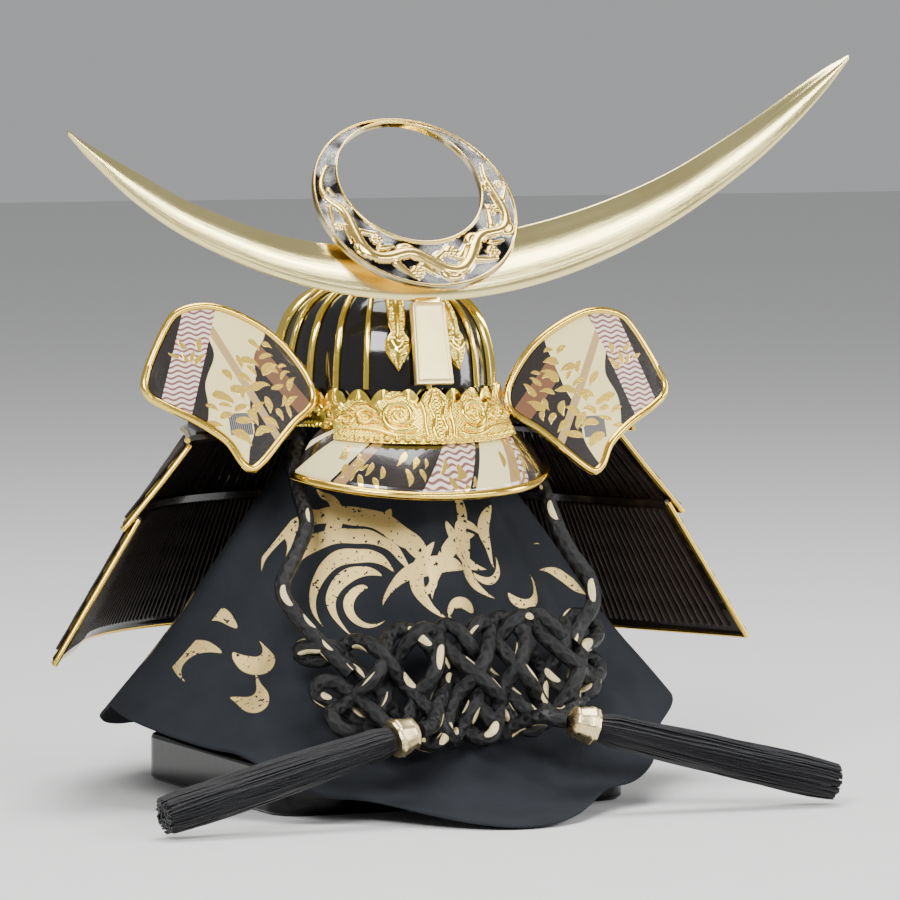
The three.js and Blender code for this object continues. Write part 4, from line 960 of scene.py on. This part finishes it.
visor_sprays = [row for start, heading, curl in (
    ((-36, 14), 10, 6), ((-30, 18), 5, -4), ((-16, 15), 10, -6), ((-3, 17), 8, 5), ((20, 16), 5, 6),
    ((28, 13), 15, -4),
) for row in leaf_spray(start, heading, curl, 5, 4.6)]
visor_leather = leather_finish("visor_leather", visor_layout, visor_sprays, visor_layers)
side, out = np.meshgrid(np.linspace(-1, 1, 121), np.linspace(0, 1, 28), indexing="ij")
visor_part = closed_plate(visor_place(side, out, 0.0), visor_place(side, out, visor_thick))
build("visor_peak", "visor", [visor_part], visor_leather)

rim_gilt = plated_finish("rim_gilt", (1.0, 0.72, 0.14, 1), (0.86, 0.54, 0.06, 1), 0.10, 0.24)
lip_side = np.linspace(-1, 1, 150)
lip = visor_place(lip_side, 1 + 0 * lip_side, visor_thick / 2)
lip_out = lip - visor_place(lip_side, 0.93 + 0 * lip_side, visor_thick / 2)
lip_path = lip + visor_bead * lip_out / np.linalg.norm(lip_out, axis=1)[:, None]
build("visor_bead", "visor_rim", [tube(lip_path, visor_bead, 16)], rim_gilt)
rivet_radius, rivet_high, rivet_seat = 0.0017, 0.0012, np.array([0, -0.00068, 0.0012])
rivet_out, rivet_up = np.array([
    (0.0001, 1.0), (0.35, 0.95), (0.6, 0.78), (0.68, 0.55), (0.72, 0.4), (0.95, 0.34), (1, 0.2), (1, 0.0),
    (0.0001, 0.0),
]).T[:, None, :, None]
for sign, name in ((-1, "left_rivet"), (1, "right_rivet")):
    seat = visor_place(np.array([0.96 * sign]), np.array([0.14]), 0.0)[0]
    away = np.array([seat[0] * 1.1, seat[1] * 0.5, 0.030])
    away /= np.linalg.norm(away)
    across, up = axes_along(np.zeros(3), away)[1:]
    spin = circle(40)[:, None, None]
    reach = rivet_radius * rivet_out * (1 + 0.05 * np.cos(8 * spin) * (rivet_out > 0.9))
    around = np.cos(spin) * across + np.sin(spin) * up
    head = seat + rivet_seat + reach * around + rivet_high * rivet_up * away
    build(name + "_head", name, [grid_part(head, loop=True)], rim_gilt, sharp=30)

# Front ornament: a cast gilt mount over the root of the visor, with a big spiral at each side of the
# holder, curling arms with leaves that run out to the sides, and a row of beads along its foot. It is one
# lost-wax casting.


def mix(a, b, share):
    """The place that share of the way from a to b."""
    return a + (b - a) * np.asarray(share)[..., None]


mount_half, mount_high, mount_seat, mount_head = 0.0340, 0.0190, 0.42, 0.1370


def mount_place(across, up, out):
    """The mount's face: its foot lies on the visor, its head leans on the foot band, and out stands off
    it."""
    side = across * 0.8
    low = visor_place(side, mount_seat + 0 * side, -0.0003)
    angle = root_turn * 1.15 * side
    head = mount_head - 0.0050 * across**2
    high = np.stack([root_half_width * np.sin(angle), -root_half_depth * np.cos(angle), head], -1)
    away = np.stack([np.sin(angle), -np.cos(angle), 0 * angle + 0.5], -1)
    return mix(low, high, up) + np.asarray(out)[..., None] * away


def half_mount():
    """The raised lines of the mount's right half, in metres from the middle of its foot."""
    bow = lambda points, count=50: smooth_path([(a / 1e3, b / 1e3, 0) for a, b in points], count)[:, :2]
    taper = lambda a, b, count=50: np.linspace(a, b, count) / 1e3
    lines = [
        (spiral((0.0125, 0.0098), 0.0058, 1.9, -2.2, count=160), np.linspace(0.0013, 0.0008, 160)),
        (bow([(6.2, 3.2), (9, 2.2), (14, 2.6), (19, 4.4), (24, 5.4), (29, 5.2), (32, 3.6)]), taper(1.2, 0.7)),
        (spiral((0.0232, 0.0098), 0.0034, -1.5, 2.6), np.linspace(0.0010, 0.0006, 70)),
        (spiral((0.0292, 0.0092), 0.0027, 1.4, 0.2), np.linspace(0.0009, 0.0006, 70)),
        (bow([(18.4, 10), (19.6, 13), (22, 15.4), (25, 15.8), (28, 14.6)]), taper(1.1, 0.5)),
        (bow([(15, 16.6), (18, 17.4), (21, 18.2)]), taper(0.9, 0.4)),
        (
            bow([(4.2, 2.4), (4.6, 6), (4.4, 10), (5.4, 14), (8.4, 16.8), (12, 17.6), (15, 16.6)]),
            taper(0.9, 0.9),
        ),
        (bow([(26.5, 12.6), (29, 13), (32, 11.6), (33.2, 9)]), taper(0.9, 0.4)),
        (bow([(1.6, 1.6), (2.2, 5), (1.4, 9), (2.4, 13), (1.0, 17)]), taper(0.9, 0.6)),
        (bow([(6.5, 12.8), (7.4, 14.2), (9.4, 15.2)]), taper(0.7, 0.4)),
        (bow([(18, 7), (20, 7.8), (21.4, 7.4)]), taper(0.8, 0.4)),
    ]
    lines += [([((3.1 * k + 1.55) / 1e3, 0.0014)], 0.00115) for k in range(10)]
    return lines


across, up = np.meshgrid(np.linspace(-1, 1, 420), np.linspace(0, 1, 120), indexing="ij")
crest = 0.86 + 0.14 * np.cos(5 * np.pi * across) * (1 - 0.4 * across**2)
x, y = np.abs(across) * mount_half, up * crest * mount_high
relief = raised_lines(x, y, half_mount())
ground = 0.0003 * np.sin(x * 5200) * np.sin(y * 5200) * (relief < 0.0001) * 0.3
mount_face = mount_place(across, up * crest, 0.0010 + relief * 1.15 + ground)
mount_back = mount_place(across[:, ::119], (up * crest)[:, ::119], 0.0001)
build("cast_mount", "front_ornament", [closed_plate(mount_face, mount_back)], cast_gilt, sharp=60)

# Holder: a tapered socket of pale matte gilt, bent up from thick sheet with a raised border, that takes the
# crescent's tongue. Its back is soldered to the band.


def leaning(front, height, lean):
    """A flat place that leans back by lean degrees: across, up its slope, and depth backwards into it."""
    s, c = np.sin(np.radians(lean)), np.cos(np.radians(lean))
    return lambda x, up, depth: np.stack(np.broadcast_arrays(
        x, front + up * s + depth * c, height + up * c - depth * s,
    ), -1)


moon_plane = leaning(-0.04004, 0.1650, 13)
holder_top, holder_top_half, holder_top_deep = 0.0008, 0.0058, 0.0039
holder_foot, holder_foot_half, holder_foot_deep = -0.0267, 0.0067, 0.0032
holder_rows = [(0.0, 0.0006), (0.004, 0.0), (0.5, 0.0), (0.985, 0.0), (1.0, 0.0005)]
border_in, border_radius = 0.0010, 0.0005
corner_turn = circle(48)
boxy = lambda value, power: np.sign(value) * np.abs(value) ** power
holder_loops = []
for share, inset in holder_rows:
    half = holder_foot_half + (holder_top_half - holder_foot_half) * share - inset
    depth = holder_foot_deep + (holder_top_deep - holder_foot_deep) * share
    holder_loops.append(moon_plane(
        half * boxy(np.cos(corner_turn), 0.25), holder_foot + (holder_top - holder_foot) * share,
        depth / 2 + (depth / 2 - inset) * boxy(np.sin(corner_turn), 0.3),
    ))
border_up = np.linspace(holder_foot + border_in + 0.0002, holder_top - border_in, 20)
narrowing = (holder_foot_half - holder_top_half) / (holder_top - holder_foot)
border_half = holder_foot_half - narrowing * (border_up - holder_foot) - border_in
shut = np.linspace(-1, 1, 12)[1:-1]
border = np.concatenate([
    np.stack([-border_half, border_up], 1),
    np.stack([border_half[-1] * shut, np.full(10, border_up[-1])], 1),
    np.stack([border_half, border_up], 1)[::-1],
    np.stack([-border_half[0] * shut, np.full(10, border_up[0])], 1),
])
border_path = moon_plane(border[:, 0], border[:, 1], 0.0001)
holder_gilt = plated_finish(
    "holder_gilt", (0.95, 0.80, 0.40, 1), (0.88, 0.72, 0.32, 1), 0.38, 0.48, hammer=0.00002,
)
build("crest_holder", "holder", [
    grid_part(np.stack(holder_loops), ring=True, ends=True), tube(border_path, border_radius, 8, loop=True),
], holder_gilt, sharp=35)

# Crescent: the wide moon that stands over the brow, sawn from plate, bevelled towards its edges and satin
# gilt in pale champagne gold. A tongue at its foot goes down into the holder.
moon_rows = np.array([
    (0, .700, .720), (.03, .585, .655), (.08, .418, .553), (.15, .258, .419), (.25, .111, .292),
    (.35, .034, .244), (.45, .017, .257), (.55, .061, .309), (.65, .162, .397), (.75, .318, .527),
    (.85, .528, .709), (.92, .712, .857), (.97, .870, .958), (1, .985, 1.009),
])
moon_span, moon_left, moon_rise, moon_thick = 0.2843, 0.1211, 0.0828, 0.0026
moon = smooth_path(moon_rows, 320)
moon_section = np.array([
    (0, .66), (.015, .50), (.05, .36), (.10, .26), (.13, .22), (.16, .20), (.24, .12), (.34, .04), (.44, 0),
    (.56, .01), (.66, .06), (.72, .12), (.75, .18), (.84, .30), (.93, .42), (.985, .54), (1, .66), (.99, .80),
    (.95, .95), (.90, 1), (.5, 1), (.1, 1), (.05, .95), (.01, .80),
])
moon_wide = (moon[:, 2] - moon[:, 1])[:, None] * moon_rise
moon_up = moon[:, 1:2] * moon_rise + moon_wide * moon_section[None, :, 0]
moon_deep = np.minimum(moon_thick, 0.0005 + 0.45 * moon_wide) * moon_section[None, :, 1]
moon_grid = moon_plane(moon[:, :1] * moon_span - moon_left, moon_up, moon_deep)
tongue_half, tongue_middle, tongue_half_thick = 0.0045, 0.0016, 0.0007
tongue_up, tongue_turn = np.meshgrid(np.array([-0.0092, -0.0088, 0.0030]), circle(24), indexing="ij")
tongue_deep = tongue_middle + tongue_half_thick * boxy(np.sin(tongue_turn), 0.3)
tongue = moon_plane(tongue_half * boxy(np.cos(tongue_turn), 0.2), tongue_up, tongue_deep)


def brushed_finish(name, pale, deep, polished, hazy):
    """Satin plating: the two tones with fine brushing along the piece and a slow haze."""
    material, tree, shader = new_finish(name, Metallic=1.0)
    tone = add_haze(tree, shader, 26.0, polished, hazy)
    feed(tree, shader, Base_Color=blend_colour(tree, tone, deep, pale))
    stretched = put(tree, "ShaderNodeMapping", {"Vector": flat_place(tree), "Scale": (6.0, 380.0, 1.0)})
    raise_surface(tree, shader, noise(tree, stretched.outputs[0], 1.0, 3.0), 0.00002)
    return material


champagne = brushed_finish("champagne", (0.97, 0.84, 0.40, 1), (0.92, 0.76, 0.30, 1), 0.15, 0.20)
moon_parts = [grid_part(points, ring=True, ends=True) for points in (moon_grid, tongue)]
build("satin_moon", "crescent", moon_parts, champagne, sharp=30)

# Ring: a round crest before the moon, its hole set high, cast in one with polished rims and a winding gilt
# scroll on a darkened silver ground. A peg at its back holds it to the crescent.
ring_plane = leaning(-0.0285, 0.1980, 40)
ring_outer, ring_hole, ring_hole_lift, ring_thick = 0.0356, 0.0248, 0.0086, 0.0015
ring_rim, ring_rim_wide, raised_least = 0.0009, 0.0013, 0.00022
ring_turn = circle(560)[:, None]
ring_share = np.linspace(0, 1, 64)[None]
inner_edge = np.stack([ring_hole * np.sin(ring_turn), ring_hole_lift - ring_hole * np.cos(ring_turn)], -1)
outer_edge = np.stack([ring_outer * np.sin(ring_turn), -ring_outer * np.cos(ring_turn)], -1)
ring_flat = inner_edge + (outer_edge - inner_edge) * ring_share[..., None]
ring_width = np.linalg.norm(outer_edge - inner_edge, axis=-1)
from_edge = np.minimum(ring_share, 1 - ring_share) * ring_width
rim_bow = np.clip(np.abs(from_edge / ring_rim_wide * 2 - 1), 0, 1)
rim_height = ring_rim * np.sqrt(np.clip(1 - rim_bow**2.5, 0, 1)) * (from_edge < ring_rim_wide)


def on_ring(angle, share):
    """A place on the ring's face, by its angle from the foot in degrees and its share of the way
    outwards."""
    a = np.radians(angle)
    near = np.array([ring_hole * np.sin(a), ring_hole_lift - ring_hole * np.cos(a)])
    far = np.array([ring_outer * np.sin(a), -ring_outer * np.cos(a)])
    return near + (far - near) * share


scroll_angle = np.linspace(-112, 112, 260)
scroll = np.array([on_ring(a, 0.5 + 0.19 * np.sin(np.radians(6.5 * a))) for a in scroll_angle])
scroll_wide = 0.0021 * np.cos(np.radians(scroll_angle) * 0.72) + 0.0003
ring_lines = [(scroll, scroll_wide)]
for k in range(-3, 4):
    angle = k * 27.7
    sway = 1 if k % 2 else -1
    size = np.cos(np.radians(angle) * 0.66)
    middle = on_ring(angle + 8, 0.5 - 0.16 * sway)
    ring_lines.append((spiral(middle, 0.0038 * size, 1.0 * sway, np.radians(angle)), 0.0014 * size + 0.0001))
    leaf = np.array([on_ring(angle + 2 + d, 0.5 + (0.12 + d * 0.018) * sway) for d in np.linspace(0, 13, 24)])
    ring_lines.append((leaf, np.linspace(0.0018, 0.0006, 24) * size))
    tuft = on_ring(angle + 15, 0.5 + 0.20 * sway)
    ring_lines += [
        ([tuft + 0.0016 * size * np.array([np.cos(c), np.sin(c)])], 0.0013 * size) for c in range(6)
    ]
    bud = np.array([on_ring(angle - 9 + d, 0.5 - (0.06 + d * 0.020) * sway) for d in np.linspace(0, 9, 18)])
    ring_lines.append((bud, np.linspace(0.0016, 0.0006, 18) * size))
ring_relief = raised_lines(ring_flat[..., 0], ring_flat[..., 1], ring_lines)
ring_relief = ring_relief * (from_edge > ring_rim_wide * 0.8)
ring_height = np.maximum(rim_height, ring_relief * 0.85)
ring_face = ring_plane(ring_flat[..., 0], ring_flat[..., 1], -ring_height)
ring_back = ring_plane(ring_flat[:, ::63, 0], ring_flat[:, ::63, 1], ring_thick)
ring_raised = np.concatenate([(ring_height > raised_least).astype(float), np.ones((560, 2))], 1)


def mark(piece, name, values):
    """Keeps one number for each corner of the piece, for its finish to read."""
    layer = piece.data.attributes.new(name, "FLOAT", "POINT")
    layer.data.foreach_set("value", np.asarray(values, np.float32).ravel())


def chased_silver():
    """Darkened silver ground with the raised work gilt: the mark says where the gilding is."""
    material, tree, shader = new_finish("chased_silver", Metallic=1.0)
    place = object_place(tree)
    raised = put(tree, "ShaderNodeAttribute", attribute_name="raised").outputs["Fac"]
    tone = add_haze(tree, shader, 50.0, 0.10, 0.28)
    gilt = blend_colour(tree, tone, (0.86, 0.58, 0.14, 1), (1.0, 0.78, 0.28, 1))
    clouds = noise(tree, place, 75.0, 1.0)
    patch = put(tree, "ShaderNodeMapRange", {"Value": clouds, "From Min": 0.44, "From Max": 0.56})
    silver = blend_colour(tree, patch.outputs[0], (0.015, 0.015, 0.017, 1), (0.80, 0.79, 0.76, 1))
    feed(tree, shader, Base_Color=blend_colour(tree, raised, silver, gilt))
    raise_surface(tree, shader, noise(tree, place, 900.0, 2.0), 0.00002)
    return material


peg_turn, peg_deep = circle(32), np.array([-0.0434, -0.0377])[:, None]
peg_half_width, peg_half_height, peg_height = 0.0030, 0.0015, 0.1787
peg_across = peg_half_width * boxy(np.sin(peg_turn), 0.3)
peg_up = peg_height + peg_half_height * boxy(np.cos(peg_turn), 0.3)
peg = grid_part(np.stack(np.broadcast_arrays(peg_across, peg_deep, peg_up), -1), ring=True, ends=True)
ring_part = closed_plate(ring_face, ring_back, loop=True)
ring = build("chased_ring", "ring", [ring_part, peg], chased_silver())
mark(ring, "raised", np.concatenate([ring_raised.ravel(), np.ones(2 * 32)]))

# Side plates: the turned-back ends of the neck guard's top, faced with printed leather and edged with a
# gilt bead. Each bows forwards in the middle and leans back.
wing_rows = [
    (.16, 1, 0), (.53, .97, 0), (.72, .77, 0), (.98, .26, 0), (1.02, .03, 0), (.83, -.15, 0), (.45, -.40, 0),
    (.15, -.67, 0), (-.02, -.97, 0), (-.16, -.95, 0), (-.63, -.46, 0), (-.94, -.18, 0), (-.93, .10, 0),
    (-.65, .52, 0), (-.28, .81, 0),
]
wing_edge = smooth_path(wing_rows, 300, loop=True)[:, :2]
wing_half = np.array([0.0280, 0.0265])
wing_middle, wing_height, wing_lean = 0.0635, 0.1345, 20
wing_bow, wing_thick, wing_bead = 0.0040, 0.0012, 0.00135


def wing_place(sign, lift, out, up, depth):
    """A place on a side plate: out runs from its middle towards the outer end, up is up its slope, both as
    shares."""
    plane = leaning(-0.024, wing_height + lift, wing_lean)
    bow = wing_bow * (1 - np.minimum(out**2, 1))
    return plane(sign * (wing_middle + wing_half[0] * out), wing_half[1] * up, depth - bow)


def wing_layout(sign, lift):
    """Out and up from the middle of a side plate, in metres."""
    slope = 1.064

    def layout(tree, place):
        spot = split(tree, place)
        out = reckon(tree, "MULTIPLY_ADD", spot[0], sign, -wing_middle)
        return out, reckon(tree, "MULTIPLY_ADD", spot[2], slope, -(wing_height + lift) * slope)
    return layout


def wing_layers(tree, out, up):
    """A rosy band of waves at the outer end between black edges, a tan and a brown band, a hatched square,
    and a broad pale band bent by noise, which is a painted reflection of a lamp in the glossy leather."""
    slant = reckon(tree, "MULTIPLY_ADD", up, 0.35, out)
    rosy = within(tree, slant, 0.0135, 0.0245)
    brown = within(tree, reckon(tree, "MULTIPLY_ADD", up, -0.8, out), -0.0230, -0.0150)
    tan = within(tree, reckon(tree, "MULTIPLY_ADD", up, -0.5, out), -0.0060, -0.0030)
    square = times(tree, within(tree, out, -0.0040, 0.0040), within(tree, up, -0.0150, -0.0075))
    hatch = reckon(tree, "GREATER_THAN", reckon(tree, "SINE", times(tree, slant, 9000.0)), 0.0)
    # Painted reflection: the broad pale band, bent by slow noise, stands for a lamp's reflection in the
    # glossy leather.
    drift = noise(tree, object_place(tree), 70.0, 0.0)
    bent = reckon(tree, "MULTIPLY_ADD", minus(tree, drift, 0.5), 0.010, out)
    pale = within(tree, reckon(tree, "MULTIPLY_ADD", up, 0.2, bent), -0.0070, 0.0095)
    return [(brown, (0.16, 0.07, 0.03, 1)), (pale, (0.80, 0.68, 0.30, 1)), (tan, (0.42, 0.28, 0.12, 1)),
            *wavy_lines(tree, out, up, rosy),
            (square, (0.02, 0.02, 0.02, 1)), (times(tree, square, hatch), (0.20, 0.19, 0.18, 1))]


wing_sprays = [row for start, heading, curl, size in (
    ((-3, -19), 112, -14, 7.5), ((2, -4), 96, 13, 6.5), ((-12, 2), 60, 14, 6.5), ((-22, -2), 30, 16, 5.5),
    ((8, 12), 40, -20, 5), ((-6, -12), 130, 12, 6), ((6, -12), 70, 16, 5),
) for row in leaf_spray(start, heading, curl, 6, size)]
shrink_to = np.concatenate([np.linspace(0.03, 1, 22), np.linspace(1, 0.03, 10)])
deep = np.concatenate([np.zeros(22), np.full(10, wing_thick)])
centre = np.array([0.0, 0.15])
flat_places = centre + (wing_edge[:, None] - centre) * shrink_to[None, :, None]
flat_size = wing_edge * wing_half
along = np.roll(flat_size, -1, 0) - np.roll(flat_size, 1, 0)
square = np.stack([along[:, 1], -along[:, 0]], 1) / np.linalg.norm(along, axis=1)[:, None]
square *= np.sign((square * (flat_size - flat_size.mean(0))).sum(1).mean())
bead_flat = (flat_size + square * 0.0013) / wing_half
for sign, lift, side_name in ((-1, 0.0025, "left"), (1, -0.0015, "right")):
    plate_grid = wing_place(sign, lift, flat_places[..., 0], flat_places[..., 1], deep[None])
    plate_part = grid_part(plate_grid, loop=True, pole="both")
    layout, leather_name = wing_layout(sign, lift), f"{side_name}_plate_leather"
    plate_leather = leather_finish(leather_name, layout, wing_sprays, wing_layers)
    build(f"{side_name}_plate", f"{side_name}_side_plate", [plate_part], plate_leather, sharp=50)
    bead_path = wing_place(sign, lift, bead_flat[:, 0], bead_flat[:, 1], wing_thick / 2)
    bead_part = tube(bead_path, wing_bead, 16, loop=True)
    build(f"{side_name}_bead", f"{side_name}_side_plate_rim", [bead_part], rim_gilt)

# Neck guard: three flaring tiers of lacquered lames, laced together with dark brown silk braid and edged
# with thin gilt beads. Each tier is open at the front, where its ends splay outwards.
tier_sizes = {
    "top": (0.0405, 0.0820, 0.1270, 0.1220, 54, 2, 0.0258),
    "middle": (0.0800, 0.1030, 0.1201, 0.0935, 60, 3, 0.0210),
    "lower": (0.0980, 0.1270, 0.0964, 0.0500, 70, 5, 0.0210),
}
tier_front, tier_thick, tier_bead, lame_step = 0.021, 0.0016, 0.00095, 0.0007
lace_half, lace_apart = 0.00085, 0.0035
tier_splay, tier_splay_turn, splay_from, splay_over = 0.19, np.radians(32), 0.0405, 0.0415


def tier_place(sizes, u, v, depth):
    """A place on a tier: u from its left front end round the back to the right, v from its inner top edge
    to its foot, and depth in from its outer face."""
    inner, outer, top, foot, _, _, front = sizes
    run, drop = outer - inner, foot - top
    length = np.hypot(run, drop)
    radius = inner + run * v + drop / length * depth
    height = top + drop * v - run / length * depth
    end = np.arccos(-front / radius)
    angle = -end + 2 * end * u
    cos, sin = np.cos(angle), np.sin(angle)
    sin = np.where(cos < 0, np.sign(sin) * np.maximum(np.abs(sin), 0.97), sin)
    behind_end = np.clip((end - np.abs(angle)) / tier_splay_turn, 0, 1)
    flare = np.clip((radius - splay_from) / splay_over, 0, 1)
    plan = radius * (1 - tier_splay * flare * (1 - (1 - behind_end) ** 2))
    return np.stack(np.broadcast_arrays(plan * sin, (plan + 0.003 * np.maximum(cos, 0)) * cos, height), -1)


lame_lacquer = lacquer_finish("lame_lacquer", (0.004, 0.003, 0.003, 1), (0.016, 0.010, 0.007, 1), 0.10, 0.26)
brown_silk = braid_finish(
    "brown_silk", (0.008, 0.004, 0.003, 1), (0.034, 0.017, 0.010, 1), (0.06, 0.03, 0.018, 1), 0.1, 0.0030,
)
for tier_name, sizes in tier_sizes.items():
    inner, outer, top, foot, cords, lames, front = sizes
    u, v = np.meshgrid(np.linspace(0, 1, 220), np.linspace(0, 1, 12 * lames + 1), indexing="ij")
    step = lame_step * ((v * lames) % 1.0) ** 2
    face, back = tier_place(sizes, u, v, -step), tier_place(sizes, u, v, tier_thick - step * 0.6)
    tier_part = closed_plate(face, back)
    build(f"{tier_name}_lames", f"{tier_name}_tier", [tier_part], lame_lacquer, sharp=35)

    pair = np.linspace(0.012, 0.988, cords)
    places = np.sort(np.concatenate([pair - lace_apart, pair + lace_apart]))[:, None, None]
    lace_v = np.linspace(0.06, 0.94, 8 * lames)[None, :, None]
    lace_turn = circle(6)[None, None]
    half = lace_half * (0.82 + 0.18 * np.abs(np.sin(np.pi * lames * lace_v)))
    girth = 2 * np.arccos(-tier_front / outer) * (inner + outer) / 2
    lace_u, lace_deep = places + half * np.cos(lace_turn) / girth, half * 0.8 * np.sin(lace_turn)
    rings = [tier_place(sizes, lace_u, lace_v, seat + lace_deep) for seat in (-0.0008, tier_thick + 0.0003)]
    build(f"{tier_name}_lacing", None, [many_grids(r) for r in rings], brown_silk)

    edge_v, edge_u = np.linspace(0.02, 1, 30), np.linspace(0, 1, 260)
    lower = np.stack([edge_u, 1 + 0 * edge_u], 1)
    if tier_name != "top":
        left = np.stack([0 * edge_v, edge_v], 1)[:-1]
        lower = np.concatenate([left, lower, np.stack([1 + 0 * edge_v, edge_v], 1)[::-1][1:]])
    beyond, (at_u, at_v) = 0.0009, lower.T
    beyond_v = np.where(at_v > 0.999, 1 + beyond / np.hypot(outer - inner, foot - top), at_v)
    beyond_u = at_u + ((at_u > 0.999).astype(float) - (at_u < 0.001)) * beyond / girth
    edge_path = tier_place(sizes, beyond_u, beyond_v, tier_thick / 2)
    build(f"{tier_name}_bead", f"{tier_name}_tier_rim", [tube(edge_path, tier_bead, 10)], rim_gilt)

# Studio: a plain pale floor, a pale surround and four soft lamps.
floor_mesh = bpy.data.meshes.new("floor")
floor_half = 6
floor_corners = [(-floor_half, -floor_half, 0), (floor_half, -floor_half, 0), (floor_half, floor_half, 0),
                 (-floor_half, floor_half, 0)]
floor_mesh.from_pydata(floor_corners, [], [(0, 1, 2, 3)])
floor = bpy.data.objects.new("floor", floor_mesh)
bpy.context.scene.collection.objects.link(floor)
floor_finish, tree, shader = new_finish("floor_paper", Roughness=0.7)
fibre = noise(tree, object_place(tree), 60.0, 3.0)
feed(tree, shader, Base_Color=blend_colour(tree, fibre, (0.70, 0.70, 0.69, 1), (0.74, 0.74, 0.73, 1)))
floor_mesh.materials.append(floor_finish)

world = bpy.data.worlds.new("surround")
world.use_nodes = True
world.node_tree.nodes["Background"].inputs[0].default_value = (0.92, 0.93, 0.95, 1)
world.node_tree.nodes["Background"].inputs[1].default_value = 0.42
bpy.context.scene.world = world
for name, place, wide, tall, power in (
    ("key", (-1.0, -1.3, 1.2), 0.7, 0.7, 40.0), ("strip", (0.75, -1.6, 0.80), 1.9, 0.16, 26.0),
    ("top", (0.1, 0.1, 1.5), 0.9, 0.9, 26.0), ("side", (1.5, -0.4, 0.5), 0.4, 0.7, 10.0),
):
    lamp = bpy.data.lights.new(name, "AREA")
    lamp.shape, lamp.size, lamp.size_y, lamp.energy = "RECTANGLE", wide, tall, power
    light = bpy.data.objects.new(name, lamp)
    light.location = place
    light.rotation_euler = (Vector((0.0, 0.0, 0.15)) - Vector(place)).to_track_quat("-Z", "Y").to_euler()
    bpy.context.scene.collection.objects.link(light)
